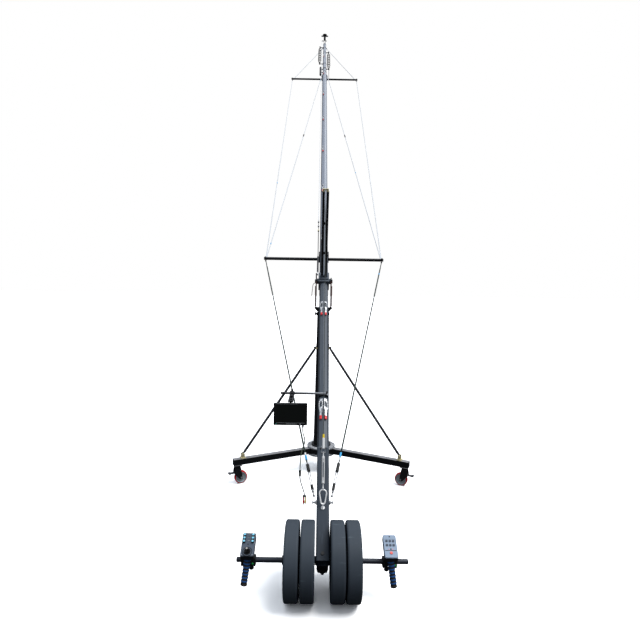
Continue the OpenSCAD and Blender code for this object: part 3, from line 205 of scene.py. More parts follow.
def curlRoute(start, length):
    count = curl["turns"] * curl["rings"]
    body = length - 2 * curl["leadIn"] - 2 * curl["cord"]
    first = Vector(start)
    route = [first, first + Vector((0, curl["cord"], 0))]
    for i in range(count + 1):
        angle = math.tau * i / curl["rings"]
        reach = curl["radius"] * min(1, min(i, count - i) / (curl["rings"] / 2))
        along = curl["leadIn"] + curl["cord"] + body * i / count
        route.append(first + Vector((reach * math.sin(angle), along, reach * math.cos(angle))))
    route += [first + Vector((0, length - curl["cord"], 0)), first + Vector((0, length, 0))]
    return [boomFrame @ p for p in route]


curlyCords = []
for side in ("left", "right"):
    route = curlRoute(*curl[side])
    piece = cordAlong("curlyCord" + side.title(), route, curl["cord"] / 2, "boom")
    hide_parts("curly_cord_" + side)
    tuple(route[0])
    routeLength(route)
    curlyCords.append(piece)
print("cords laid:", round(routeLength(leadRoute), 3), round(routeLength(cableRoute), 3))


# Shared effects, and how they spread over a surface
wear = {
    "cloudScale": 9.0,
    "grainSpan": (0.75, 1.25),
    "rubSoftness": 0.1,
    # The pale film on upward faces is dust, and on the legs it is also a painted sheen on the top faces
    "dustAndSheenFacing": (0.35, 1.0),
    "dustAndSheenCloud": (0.3, 0.7),
    "dustAndSheenColour": (172, 172, 176),
    "edgeWidth": 0.0012,
    "edgeFacing": (0.98, 0.86),
    "edgeBreakScale": 90.0,
    "edgeBreak": (0.4, 0.6),
    "reliefDepth": 0.001,
}


def newGroup(name, inputs, outputs):
    group = bpy.data.node_groups.new(name, "ShaderNodeTree")
    for label, kind, value in inputs:
        socket = group.interface.new_socket(label, in_out="INPUT", socket_type="NodeSocket" + kind)
        socket.default_value = value
    for label, kind in outputs:
        group.interface.new_socket(label, in_out="OUTPUT", socket_type="NodeSocket" + kind)
    return group, group.nodes.new("NodeGroupInput"), group.nodes.new("NodeGroupOutput")


def feed(tree, socket, value):  # a value is a number, a tuple or another node's output
    if isinstance(value, bpy.types.NodeSocket):
        tree.links.new(value, socket)
    else:
        socket.default_value = value


def noiseIn(tree, vector, scale, detail):
    noise = tree.nodes.new("ShaderNodeTexNoise")
    noise.inputs["Detail"].default_value = detail
    tree.links.new(vector, noise.inputs["Vector"])
    feed(tree, noise.inputs["Scale"], scale)
    return noise.outputs["Fac"]


def remapIn(tree, value, low, high, toLow, toHigh):
    remap = tree.nodes.new("ShaderNodeMapRange")
    tree.links.new(value, remap.inputs["Value"])
    for label, limit in (("From Min", low), ("From Max", high), ("To Min", toLow), ("To Max", toHigh)):
        feed(tree, remap.inputs[label], limit)
    return remap.outputs["Result"]


def mathIn(tree, operation, first, second=0.0):
    node = tree.nodes.new("ShaderNodeMath")
    node.operation = operation
    feed(tree, node.inputs[0], first)
    feed(tree, node.inputs[1], second)
    return node.outputs["Value"]


def turnedPlace(tree, turn, stretch):  # place on the object, turned and then stretched
    place = tree.nodes.new("ShaderNodeTexCoord")
    turned = tree.nodes.new("ShaderNodeMapping")
    tree.links.new(place.outputs["Object"], turned.inputs["Vector"])
    feed(tree, turned.inputs["Rotation"], turn)
    stretched = tree.nodes.new("ShaderNodeMapping")
    tree.links.new(turned.outputs["Vector"], stretched.inputs["Vector"])
    feed(tree, stretched.inputs["Scale"], stretch)
    return stretched.outputs["Vector"]


def makeGrain():  # fine uneven gloss and height of a coat, a casting or a moulding
    group, given, out = newGroup(
        "surfaceGrain",
        [("Scale", "Float", 400.0), ("Low", "Float", 0.3), ("High", "Float", 0.5)],
        [("Roughness", "Float"), ("Height", "Float"), ("Cloud", "Float")])
    place = group.nodes.new("ShaderNodeTexCoord")
    speck = noiseIn(group, place.outputs["Object"], given.outputs["Scale"], 3)
    cloud = noiseIn(group, place.outputs["Object"], wear["cloudScale"], 4)
    both = mathIn(group, "ADD", speck, cloud)
    rough = remapIn(group, both, *wear["grainSpan"], given.outputs["Low"], given.outputs["High"])
    group.links.new(rough, out.inputs["Roughness"])
    group.links.new(speck, out.inputs["Height"])
    group.links.new(cloud, out.inputs["Cloud"])
    return group


def makeScuffs():  # patches and streaks where a finish has rubbed
    group, given, out = newGroup(
        "rubbedPatches",
        [("Scale", "Float", 30.0), ("Start", "Float", 0.6), ("Stretch", "Vector", (1, 1, 1)),
         ("Turn", "Vector", (0, 0, 0)), ("Strength", "Float", 1.0)],
        [("Mask", "Float")])
    place = turnedPlace(group, given.outputs["Turn"], given.outputs["Stretch"])
    patch = noiseIn(group, place, given.outputs["Scale"], 6)
    end = mathIn(group, "ADD", given.outputs["Start"], wear["rubSoftness"])
    mask = remapIn(group, patch, given.outputs["Start"], end, 0.0, given.outputs["Strength"])
    group.links.new(mask, out.inputs["Mask"])
    return group


def makeDustAndSheen():  # pale dust that settles on what faces up; on the legs it is also a painted sheen on the top faces
    group, given, out = newGroup(
        "dustAndTopSheen", [("Amount", "Float", 0.2), ("Scale", "Float", 14.0)], [("Mask", "Float")])
    place = group.nodes.new("ShaderNodeTexCoord")
    surface = group.nodes.new("ShaderNodeNewGeometry")
    parts = group.nodes.new("ShaderNodeSeparateXYZ")
    group.links.new(surface.outputs["Normal"], parts.inputs["Vector"])
    upward = remapIn(group, parts.outputs["Z"], *wear["dustAndSheenFacing"], 0.0, given.outputs["Amount"])
    cloud = noiseIn(group, place.outputs["Object"], given.outputs["Scale"], 5)
    patchy = remapIn(group, cloud, *wear["dustAndSheenCloud"], 0.5, 1.0)
    group.links.new(mathIn(group, "MULTIPLY", upward, patchy), out.inputs["Mask"])
    return group


def makeEdges():  # the bare line along a worn edge, and the edge's rounded normal
    group, given, out = newGroup(
        "wornEdges", [("Width", "Float", 0.001), ("Amount", "Float", 0.6)],
        [("Mask", "Float"), ("Normal", "Vector")])
    rounded = group.nodes.new("ShaderNodeBevel")
    rounded.samples = 4
    group.links.new(given.outputs["Width"], rounded.inputs["Radius"])
    surface = group.nodes.new("ShaderNodeNewGeometry")
    match = group.nodes.new("ShaderNodeVectorMath")
    match.operation = "DOT_PRODUCT"
    group.links.new(rounded.outputs["Normal"], match.inputs[0])
    group.links.new(surface.outputs["Normal"], match.inputs[1])
    edge = remapIn(group, match.outputs["Value"], *wear["edgeFacing"], 0.0, given.outputs["Amount"])
    place = group.nodes.new("ShaderNodeTexCoord")
    chips = noiseIn(group, place.outputs["Object"], wear["edgeBreakScale"], 4)
    broken = remapIn(group, chips, *wear["edgeBreak"], 0.2, 1.0)
    group.links.new(mathIn(group, "MULTIPLY", edge, broken), out.inputs["Mask"])
    group.links.new(rounded.outputs["Normal"], out.inputs["Normal"])
    return group


def makeStrands():  # slanting ridges of a laid wire rope
    group, given, out = newGroup(
        "laidStrands", [("Turn", "Vector", (0, 0, 0)), ("Pitch", "Float", 0.004)], [("Height", "Float")])
    place = turnedPlace(group, given.outputs["Turn"], (1.0, 1.0, 1.0))
    parts = group.nodes.new("ShaderNodeSeparateXYZ")
    group.links.new(place, parts.inputs["Vector"])
    slanted = mathIn(group, "ADD", parts.outputs["Y"], parts.outputs["X"])
    count = mathIn(group, "DIVIDE", slanted, given.outputs["Pitch"])
    group.links.new(mathIn(group, "PINGPONG", count, 0.5), out.inputs["Height"])
    return group


effects = {
    "grain": makeGrain(),
    "scuffs": makeScuffs(),
    "dustAndSheen": makeDustAndSheen(),
    "edges": makeEdges(),
    "strands": makeStrands(),
}
print("shared effects built")


# Materials

def fromScreen(red, green, blue):  # a colour as read on a screen, 0 to 255
    def linear(v):
        v /= 255
        return v / 12.92 if v <= 0.04045 else ((v + 0.055) / 1.055) ** 2.4
    return (linear(red), linear(green), linear(blue), 1)


def placeEffect(material, effect, **values):
    node = material.node_tree.nodes.new("ShaderNodeGroup")
    node.node_tree = effects[effect]
    for label, value in values.items():
        node.inputs[label].default_value = value
    return node.outputs


def blendColour(material, mask, first, second):
    tree = material.node_tree
    mix = tree.nodes.new("ShaderNodeMix")
    mix.data_type = "RGBA"
    feed(tree, mix.inputs["Factor"], mask)
    feed(tree, mix.inputs[6], first)
    feed(tree, mix.inputs[7], second)
    return mix.outputs[2]


def shade(colour, factor):
    return (*(min(1, c * factor) for c in colour[:3]), 1)


def finishOf(name, colour, rough, metallic=0.0, grain=500.0, bump=0.06, cloud=0.12,
             rub=None, rubColour=None, edge=0.0, edgeColour=None, dustAndSheen=0.0, coat=0.0,
             gloss=0.5, strands=None):
    material = bpy.data.materials.new(name)
    material.use_nodes = True
    tree = material.node_tree
    shader = tree.nodes["Principled BSDF"]
    shader.inputs["Metallic"].default_value = metallic
    shader.inputs["Coat Weight"].default_value = coat
    shader.inputs["Specular IOR Level"].default_value = gloss
    speck = placeEffect(material, "grain", Scale=grain, Low=rough[0], High=rough[1])
    tree.links.new(speck["Roughness"], shader.inputs["Roughness"])
    base = fromScreen(*colour)
    surface = blendColour(material, speck["Cloud"], shade(base, 1 - cloud), shade(base, 1 + cloud))
    if rub:
        patches = placeEffect(material, "scuffs", **rub)
        surface = blendColour(material, patches["Mask"], surface, fromScreen(*rubColour))
    relief = tree.nodes.new("ShaderNodeBump")
    relief.inputs["Strength"].default_value = bump
    relief.inputs["Distance"].default_value = wear["reliefDepth"]
    if edge:
        corners = placeEffect(material, "edges", Width=wear["edgeWidth"], Amount=edge)
        surface = blendColour(material, corners["Mask"], surface, fromScreen(*edgeColour))
        tree.links.new(corners["Normal"], relief.inputs["Normal"])
    # Pale film on upward faces: dust, and where the amount is large, as on the legs, a painted sheen on the
    # tops
    if dustAndSheen:
        dustAndSheenFilm = placeEffect(material, "dustAndSheen", Amount=dustAndSheen)
        surface = blendColour(material, dustAndSheenFilm["Mask"], surface, fromScreen(*wear["dustAndSheenColour"]))
    height = speck["Height"]
    if strands:
        height = placeEffect(material, "strands", **strands)["Height"]
    tree.links.new(height, relief.inputs["Height"])
    tree.links.new(relief.outputs["Normal"], shader.inputs["Normal"])
    tree.links.new(surface, shader.inputs["Base Color"])
    return material


alongBoom = (-math.radians(crane["boomAngle"]), 0, 0)
boomRub = {"Scale": 16.0, "Start": 0.6, "Strength": 0.3, "Stretch": (5.0, 0.5, 5.0), "Turn": alongBoom}
ropeLay = {"Turn": alongBoom, "Pitch": 0.006}

# Each finish: its colour on a screen, its least and greatest roughness, and its wear
finishLooks = {
    "blackCoat": dict(colour=(26, 28, 32), rough=(0.36, 0.5), gloss=0.3, dustAndSheen=0.1,
                      edge=0.35, edgeColour=(88, 90, 94)),
    "hubCoat": dict(colour=(118, 122, 130), rough=(0.4, 0.55), dustAndSheen=0.45,
                    rub={"Scale": 60.0, "Start": 0.48, "Strength": 0.8}, rubColour=(214, 218, 222)),
    # The legs' strong dust amount paints their top faces pale: partly settled dust, partly a painted sheen
    # on the tops
    "legCoat": dict(colour=(20, 22, 25), rough=(0.3, 0.42), dustAndSheen=0.8, gloss=0.3,
                    edge=0.4, edgeColour=(110, 112, 116)),
    "columnCoat": dict(colour=(20, 21, 24), rough=(0.36, 0.5), gloss=0.3),
    "braceCoat": dict(colour=(28, 31, 38), rough=(0.3, 0.42), dustAndSheen=0.1),
    "creamBrass": dict(colour=(228, 218, 176), rough=(0.3, 0.45), metallic=0.3, bump=0.03),
    "casterBlack": dict(colour=(24, 25, 28), rough=(0.34, 0.5), dustAndSheen=0.12,
                        edge=0.3, edgeColour=(90, 92, 96)),
    "treadRed": dict(colour=(250, 24, 28), rough=(0.4, 0.55), grain=200.0,
                     rub={"Scale": 60.0, "Start": 0.62, "Strength": 0.35}, rubColour=(150, 50, 46)),
    "rimPale": dict(colour=(196, 202, 206), rough=(0.34, 0.5), metallic=0.2),
    "brightSteel": dict(colour=(228, 230, 233), rough=(0.24, 0.38), metallic=0.7, bump=0.02),
    "satinSteel": dict(colour=(186, 188, 192), rough=(0.3, 0.46), metallic=0.7, bump=0.03,
                       edge=0.3, edgeColour=(226, 228, 230)),
    # Reddish brown over the yoke's silver plates, its cable tail and the plates' added edges: a painted
    # reflection of the surroundings, not their own colour
    "yokePaintedReflection": dict(colour=(124, 92, 86), rough=(0.36, 0.5), metallic=0.2, gloss=0.3),
    "boomMetal": dict(colour=(80, 88, 98), rough=(0.34, 0.46), grain=260.0, gloss=0.35,
                      rub=boomRub, rubColour=(112, 120, 134), edge=0.35, edgeColour=(150, 156, 166)),
    "boomPale": dict(colour=(140, 148, 163), rough=(0.34, 0.46), grain=260.0,
                     rub=boomRub, rubColour=(168, 176, 190), edge=0.35, edgeColour=(196, 202, 210)),
    "tailMetal": dict(colour=(50, 59, 70), rough=(0.36, 0.48), grain=260.0, gloss=0.2,
                      rub=boomRub, rubColour=(84, 94, 110), edge=0.35, edgeColour=(130, 138, 150)),
    "postMetal": dict(colour=(22, 24, 28), rough=(0.3, 0.44)),
    "ropeDark": dict(colour=(52, 60, 58), rough=(0.4, 0.55), metallic=0.2, bump=0.3, strands=ropeLay),
    "ropePale": dict(colour=(222, 228, 236), rough=(0.35, 0.5), bump=0.3, strands=ropeLay),
    "plateRubber": dict(colour=(62, 70, 79), rough=(0.5, 0.66), grain=220.0, bump=0.2, cloud=0.16,
                        rub={"Scale": 30.0, "Start": 0.66, "Strength": 0.5, "Stretch": (0.3, 1.4, 1.4)},
                        rubColour=(98, 112, 120), edge=0.5, edgeColour=(92, 100, 108), gloss=0.2),
    "wornSteel": dict(colour=(158, 160, 164), rough=(0.26, 0.4), metallic=0.85, bump=0.03),
    "zincBright": dict(colour=(252, 252, 253), rough=(0.2, 0.34), metallic=0.4, bump=0.03),
    "ropeCover": dict(colour=(44, 58, 52), rough=(0.5, 0.65), bump=0.5, cloud=0.2, strands=ropeLay),
    "barSteel": dict(colour=(46, 50, 60), rough=(0.3, 0.42), metallic=0.3,
                     edge=0.4, edgeColour=(140, 144, 150)),
    "boxSlate": dict(colour=(74, 84, 98), rough=(0.36, 0.5), gloss=0.3,
                     edge=0.6, edgeColour=(150, 156, 168)),
    "boxPale": dict(colour=(144, 162, 184), rough=(0.36, 0.5), gloss=0.3,
                    edge=0.4, edgeColour=(206, 214, 226)),
    "blackPlastic": dict(colour=(20, 21, 23), rough=(0.42, 0.6), gloss=0.3, grain=700.0),
    "tipGrey": dict(colour=(176, 174, 170), rough=(0.4, 0.5), bump=0.03),
    "inkBlack": dict(colour=(8, 8, 9), rough=(0.5, 0.6)),
    "capBlue": dict(colour=(122, 206, 236), rough=(0.25, 0.36), bump=0.02),
    "markWhite": dict(colour=(238, 238, 234), rough=(0.4, 0.5), bump=0.02),
    "redPlastic": dict(colour=(236, 22, 26), rough=(0.3, 0.42), bump=0.03, coat=0.3),
    "coralPlastic": dict(colour=(255, 100, 92), rough=(0.3, 0.42), bump=0.03, coat=0.3),
    "yellowPlastic": dict(colour=(250, 214, 10), rough=(0.3, 0.42), bump=0.03),
    "greenPlastic": dict(colour=(24, 150, 70), rough=(0.3, 0.42), bump=0.03),
    "screenGlass": dict(colour=(6, 12, 8), rough=(0.12, 0.18), bump=0.0, coat=0.5),
    "bezelGloss": dict(colour=(14, 15, 16), rough=(0.28, 0.4), bump=0.03),
    "leadSheath": dict(colour=(120, 134, 118), rough=(0.5, 0.62)),
    "leadBlack": dict(colour=(22, 23, 25), rough=(0.45, 0.6)),
    "tapeBlue": dict(colour=(60, 180, 240), rough=(0.4, 0.55), grain=150.0),
    "tapeWhite": dict(colour=(232, 234, 236), rough=(0.4, 0.55), grain=150.0),
    "sleeveWhite": dict(colour=(234, 235, 236), rough=(0.35, 0.5)),
    "stripGreyAndHighlight": dict(colour=(150, 154, 156), rough=(0.3, 0.4)),
    "lampTeal": dict(colour=(0, 190, 166), rough=(0.3, 0.4)),
    "foamBlue": dict(colour=(24, 78, 140), rough=(0.7, 0.9), grain=900.0, bump=0.5),
    "foamDark": dict(colour=(34, 29, 26), rough=(0.7, 0.9), grain=900.0, bump=0.5),
}
finishes = {name: finishOf(name, **look) for name, look in finishLooks.items()}
print("materials made:", len(finishes))


def clothe(piece, finish):
    piece.data.materials.append(finishes[finish])


clothe(pictureLead, "leadSheath")
pictureLead.data.materials.append(finishes["leadBlack"])
for face in pictureLead.data.polygons:  # black below the joiner
    face.material_index = int(face.center.z < lead["start"].z - lead["joinerDrop"])
# The cable tail takes the same painted reddish reflection as the yoke's plates
clothe(cableTail, "yokePaintedReflection")
for piece in curlyCords:
    clothe(piece, "inkBlack")


# Places on the crane, as frames or as lines along the boom
box = {  # control boxes: x right, y up the slope, z out of the face
    "slope": 27,
    "lift": 0.06477,
    "length": 0.135,
    "face": 0.036,
    "seat": 0.0003,
    "places": {-1: -0.400, 1: 0.364},
}


def boxFrame(side):
    lift = moved(box["places"][side], 0, box["lift"])
    slope = turned(box["slope"], "X")
    return barFrame @ lift @ slope @ moved(0, 0, box["seat"])


def boxRow(distance):  # height on a box's face, from its lower end
    return distance - box["length"] / 2


def onBox(side, x, row, height=-0.0001):  # frame on a box's face
    return boxFrame(side) @ moved(x, boxRow(row), box["face"] + height)


stayEnds = {  # each line runs from one point to another, beside the boom
    "topStay": ((0, -2.072, 0.0525), (0, 0, 0.892)),
    "sideStay": ((0.052, -1.985, 0), (0.550, 0.402, -0.0805)),
    "longStay": ((0.550, 0.402, -0.0805), (0.550, 5.540, -0.0765)),
    "diagonal": ((0.550, 0.402, -0.0805), (0.0515, 5.540, -0.008)),
}


def stayLine(name, side):  # a stay's start and its direction
    start, end = (Vector((side * x, y, z)) for x, y, z in stayEnds[name])
    return start, (end - start).normalized()


def alongLine(name, point, side):  # distance along a stay, and off it
    start, way = stayLine(name, side)
    offset = toBoom @ point - start
    return offset.dot(way), (offset - offset.dot(way) * way).length


def onStay(name, low, high, reach):  # a test for either side's stay
    def test(point):
        for side in (-1, 1):
            along, off = alongLine(name, point, side)
            if low < along < high and off < reach:
                return True
        return False
    return test


def pastJoint(point):  # distance along the boom from the nearest latched joint
    along = (toBoom @ point).y - crane["rearJoint"]
    return (along + 0.5) % crane["sectionLength"] - 0.5


# Finishes of the carried nodes, by face where one node has several

def dress(node, *layers):  # each layer is a finish and a test on a face's middle
    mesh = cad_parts[node].data
    mesh.materials.clear()
    for name, _ in layers:
        mesh.materials.append(finishes[name])
    if len(layers) == 1:
        return
    for face in mesh.polygons:
        middle = sum((mesh.vertices[v].co for v in face.vertices), Vector()) / len(face.vertices)
        face.material_index = [test is None or test(middle) for _, test in layers].index(True)


wholeNodes = {
    "blackCoat": ["crossbars", "bar_clamps", "head_mount", "tail_block"],
    "legCoat": ["legs"],
    "columnCoat": ["column"],
    "braceCoat": ["braces"],
    "creamBrass": ["brace_clevises"],
    "casterBlack": ["brake_pedal_left", "brake_pedal_right", "brake_pedal_front"],
    "boomMetal": ["pivot_block"],
    "boomPale": ["tip_tube"],
    "tailMetal": ["tail_tube"],
    "zincBright": ["carabiner", "carabiner_gate"],
    "barSteel": ["weight_bar"],
    "plateRubber": ["weight_plates"],
    "blackPlastic": ["pan_lock", "star_knob", "joystick_gimbal", "tip_connectors"],
    "coralPlastic": ["record_button"],
}
for finish, nodes in wholeNodes.items():
    for node in nodes:
        dress(node, (finish, None))

# Far sections are a paler grey, and the post's foot is painted as the boom is
dress("boom_sections", ("boomPale", lambda p: (toBoom @ p).y > crane["farSections"]), ("boomMetal", None))
dress("king_post", ("boomMetal", lambda p: (toBoom @ p).z < crane["postFoot"]), ("postMetal", None))

casters = {
    "reach": 0.751,
    "height": 0.054,
    "bearings": {"left": 116, "right": 244, "front": 0},
    "tread": 0.0453,
    "nutRadius": 0.0085,
    "nutPlace": 0.0232,
}


def fromWheelAxle(side):  # distances along and off a caster's axle
    bearing = math.radians(casters["bearings"][side])
    ahead = Vector((-math.sin(bearing), math.cos(bearing), 0))
    centre = casters["reach"] * ahead + Vector((0, 0, casters["height"]))
    axle = Vector((math.cos(bearing), math.sin(bearing), 0))

    def measure(point):
        offset = point - centre
        return abs(offset.dot(axle)), (offset - offset.dot(axle) * axle).length
    return measure


def isTread(measure):
    return lambda point: measure(point)[1] > casters["tread"]


def isAxleNut(measure):
    def test(point):
        along, off = measure(point)
        return off < casters["nutRadius"] and along > casters["nutPlace"]
    return test


for side in casters["bearings"]:
    measure = fromWheelAxle(side)
    dress("caster_wheel_" + side, ("treadRed", isTread(measure)), ("rimPale", None))
    dress("caster_fork_" + side, ("satinSteel", isAxleNut(measure)), ("casterBlack", None))

latch = {"gripFrom": -0.13, "gripTo": -0.0838}  # from the joint that a latch closes
for node in ("latch_rear_left", "latch_rear_right", "latch_mid_left", "latch_mid_right", "far_latches"):
    dress(node,
          ("redPlastic", lambda p: latch["gripFrom"] < pastJoint(p) < latch["gripTo"]),
          ("brightSteel", None))

# Control boxes, with heights out of their faces
faces = {
    "rim": -0.0041,
    "cap": 0.0122,
    "capMark": 0.0124,
    "stickTip": 0.0305,
    "keyTop": -0.0008,
    "dots": {"rows": (0.122, 0.049), "radius": 0.0043, "from": -0.0025, "to": -0.0003},
}
toLeftBox = boxFrame(-1).inverted()
toRightBox = boxFrame(1).inverted()


def aboveFace(toBox, height):
    return lambda point: (toBox @ point).z > box["face"] + height


def isDot(point):
    dots = faces["dots"]
    place = toRightBox @ point
    near = min(math.hypot(place.x, place.y - boxRow(row)) for row in dots["rows"])
    return near < dots["radius"] and dots["from"] < place.z - box["face"] < dots["to"]


for k in range(1, 7):
    dress("control_knob_%d" % k,
          ("markWhite", aboveFace(toLeftBox, faces["capMark"])),
          ("capBlue", aboveFace(toLeftBox, faces["cap"])),
          ("blackPlastic", None))
dress("joystick", ("tipGrey", aboveFace(toLeftBox, faces["stickTip"])), ("blackPlastic", None))
dress("left_control_box", ("boxSlate", aboveFace(toLeftBox, faces["rim"])), ("blackPlastic", None))
dress("right_control_box",
      ("inkBlack", isDot),
      ("boxPale", aboveFace(toRightBox, faces["rim"])),
      ("blackPlastic", None))
dress("keypad", ("boxSlate", aboveFace(toRightBox, faces["keyTop"])), ("boxPale", None))

# Stand and pan head
hub = {"top": 0.225, "topPlate": 0.0122, "bottomPlateTop": 0.1635}
yoke = {"half": 0.070, "bareFrom": 1.4695, "bareTo": crane["axleHeight"] - 0.034}
dress("hub",
      ("hubCoat", lambda p: p.z > hub["top"] - hub["topPlate"] or p.z < hub["bottomPlateTop"]),
      ("blackCoat", None))
# The yoke's bare silver plates get the painted reddish reflection; the rest is black
dress("yoke", ("yokePaintedReflection", lambda p: yoke["bareFrom"] < p.z < yoke["bareTo"]), ("blackCoat", None))
dress("tilt_axle", ("blackCoat", lambda p: abs(p.x) > yoke["half"]), ("satinSteel", None))

# Rigging: a stay's name, then from, to and reach off its line
rigging = {
    "sideRope": ("sideStay", 0, 9, 0.009),
    "topRope": ("topStay", 0.38, 9, 0.009),
    "topSleeve": ("topStay", 0.319, 0.3815, 0.012),
    "topSleeveEnd": ("topStay", 0.3815, 0.405, 0.012),
    "lowerNut": ("sideStay", -0.01, 0.024, 0.008),
    "upperNut": ("sideStay", 0.206, 0.24, 0.008),
    "midClamps": (2.5, 4.6),
    "postTop": 0.86,
    "crossbarEnd": 0.45,
    "anchors": {"beside": 0.03, "behind": -1.6},
}


def isMidClamp(point):
    return rigging["midClamps"][0] < (toBoom @ point).y < rigging["midClamps"][1]


def isAnchor(point):
    return abs(point.x) > rigging["anchors"]["beside"] and (toBoom @ point).y < rigging["anchors"]["behind"]


dress("stays",
      ("ropeDark", onStay(*rigging["sideRope"])),
      ("ropeDark", onStay(*rigging["topRope"])),
      ("ropePale", None))
dress("stay_hardware",
      ("sleeveWhite", onStay(*rigging["topSleeve"])),
      ("yellowPlastic", onStay(*rigging["topSleeveEnd"])),
      ("inkBlack", isMidClamp),
      ("creamBrass", lambda p: (toBoom @ p).z > rigging["postTop"]),
      ("blackCoat", lambda p: abs(p.x) > rigging["crossbarEnd"]),
      ("inkBlack", onStay(*rigging["lowerNut"])),
      ("inkBlack", onStay(*rigging["upperNut"])),
      ("wornSteel", isAnchor),
      ("zincBright", None))

# Levelling cable, with distances from its rear eye
cable = {
    "start": 0.0373,
    "eye": 0.0355,
    "screw": 0.262,
    "brassClamp": 0.690,
    "steelClamps": (0.770, 0.850),
    "halfClamp": 0.009,
    "sheathEnd": 0.86,
    "farEye": 7.2,
}


def onCable(point):
    return (toBoom @ point).y - cable["start"]


def isSteelClamp(point):
    return min(abs(onCable(point) - place) for place in cable["steelClamps"]) < cable["halfClamp"]


dress("levelling_cable",
      ("brightSteel", lambda p: onCable(p) < cable["eye"] or onCable(p) > cable["farEye"]),
      ("blackCoat", lambda p: onCable(p) < cable["screw"]),
      ("creamBrass", lambda p: abs(onCable(p) - cable["brassClamp"]) < cable["halfClamp"]),
      ("satinSteel", isSteelClamp),
      ("leadBlack", lambda p: onCable(p) < cable["sheathEnd"]),
      ("ropePale", None))

# Monitor with its arm and plugs
monitor = {
    "centre": armPlace + Vector((0, -0.168, -0.095)),
    "glassDepth": -0.014,
    "glassThick": 0.0006,
    "glassHalf": 0.0955,
    "armEnd": {"radius": 0.0083, "from": armPlace.x + 0.03},
    "plugs": {"boot": -0.4622, "between": 0.016, "redEnd": -0.5072, "yellowEnd": -0.5042},
}
armFromBoom = toBoom @ armPlace


def isArmEnd(point):
    reach = math.hypot(*((toBoom @ point) - armFromBoom).yz)
    return reach < monitor["armEnd"]["radius"] and point.x > monitor["armEnd"]["from"]


def isGlass(point):
    offset = point - monitor["centre"]
    depth = abs(offset.y - monitor["glassDepth"])
    return depth < monitor["glassThick"] and abs(offset.x) < monitor["glassHalf"]


def fromLead(point):
    return point - lead["start"]


plugs = monitor["plugs"]
dress("monitor_arm", ("wornSteel", isArmEnd), ("blackCoat", None))
dress("monitor", ("screenGlass", isGlass), ("bezelGloss", None))
dress("lead_plugs",
      ("leadBlack", lambda p: fromLead(p).z > plugs["boot"]),
      ("redPlastic", lambda p: fromLead(p).x < plugs["between"] and fromLead(p).z > plugs["redEnd"]),
      ("yellowPlastic", lambda p: fromLead(p).x > plugs["between"] and fromLead(p).z > plugs["yellowEnd"]),
      ("brightSteel", None))
print("carried nodes dressed")


# Added pieces: revolved forms, rounded slabs and bands round a line

def pieceFrom(name, build, finishList, body, at=Matrix.Identity(4), smooth=True):
    mesh = bmesh.new()
    build(mesh)
    bmesh.ops.recalc_face_normals(mesh, faces=mesh.faces)
    mesh.transform(at)
    for face in mesh.faces:
        face.smooth = smooth
    piece = placeMesh(name, mesh)
    for finish in finishList:
        piece.data.materials.append(finishes[finish])
    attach(piece, body)
    return piece


def revolve(mesh, profile, sides=32, at=Matrix.Identity(4), bandFinish=None):
    rings = []
    for radius, height in profile:
        ring = []
        for k in range(sides):
            angle = math.tau * k / sides
            place = Vector((radius * math.cos(angle), radius * math.sin(angle), height))
            ring.append(mesh.verts.new(at @ place))
        rings.append(ring)
    joinRings(mesh, rings, bandFinish)


def roundedSlab(mesh, size, radius, at, edge=0.0006):  # slab lying on z = 0 of its frame
    corners = []
    for x, y, start in ((1, 1, 0), (-1, 1, 90), (-1, -1, 180), (1, -1, 270)):
        for k in range(5):  # a quarter turn in four steps
            angle = math.radians(start + 22.5 * k)
            corners.append((x * (size[0] / 2 - radius) + radius * math.cos(angle),
                            y * (size[1] / 2 - radius) + radius * math.sin(angle)))
    layers = ((0, 0), (0, size[2] - edge), (edge, size[2]))
    rings = [[mesh.verts.new(at @ Vector((x - math.copysign(pull, x), y - math.copysign(pull, y), z)))
              for x, y in corners] for pull, z in layers]
    joinRings(mesh, rings)


def screwHead(mesh, at, radius, height, sides=24):  # domed head with a sunk socket
    profile = ((1, 0), (1, 0.6), (0.9, 0.9), (0.55, 1), (0.52, 0.45))
    revolve(mesh, [(radius * wide, height * high) for wide, high in profile], sides, at)


def lineFrame(name, distance, side=1):  # frame on a stay with z along it
    start, way = stayLine(name, side)
    turn = way.to_track_quat("Z", "Y").to_matrix().to_4x4()
    return boomFrame @ Matrix.Translation(start + distance * way) @ turn


# Foam hand grips, ribbed in two colours
grip = {
    "radius": 0.0185,
    "groove": 0.0165,
    "length": 0.140,
    "bands": 7,
    "bandShare": 0.52,
    "firstBand": 0.006,
    "plainLength": 0.017,
    "rib": ((0.985, 0.1), (1, 0.25), (0.985, 0.42)),  # share of the radius, share of a band
    "topEnd": [(0.0156, 0), (0.0166, 0.003)],
    "lowEnd": [(0.0165, 0.010), (0.0180, 0.008), (0.0177, 0.003), (0.0140, 0)],
    "lean": -12,
    "splay": -7,
    "forward": -0.036,
    "top": 0.031,
}


def buildGrip(mesh):
    profile = list(grip["topEnd"])
    pitch = (grip["length"] - grip["plainLength"]) / grip["bands"]
    for band in range(grip["bands"]):
        base = grip["firstBand"] + band * pitch
        profile.append((grip["groove"], base))
        profile += [(grip["radius"] * share, base + place * pitch) for share, place in grip["rib"]]
        profile.append((grip["groove"], base + grip["bandShare"] * pitch))
    last = len(profile)
    profile += [(radius, grip["length"] - rest) for radius, rest in grip["lowEnd"]]

    def foamOf(level):  # ribs take the first foam, grooves and ends the second
        if level < 2 or level >= last:
            return 1
        return 0 if (level - 2) % 5 < 4 else 1
    revolve(mesh, profile, 40, bandFinish=foamOf)


lean = turned(grip["lean"], "X")
for side, name in ((-1, "Left"), (1, "Right")):
    splay = turned(side * grip["splay"], "Y")
    top = moved(box["places"][side], grip["forward"], grip["top"])
    at = barFrame @ top @ splay @ lean @ Matrix.Diagonal((1, 1, -1, 1))
    piece = pieceFrom("foamGrip" + name, buildGrip, ["foamBlue", "foamDark"], "boom", at)
    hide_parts("hand_grips")
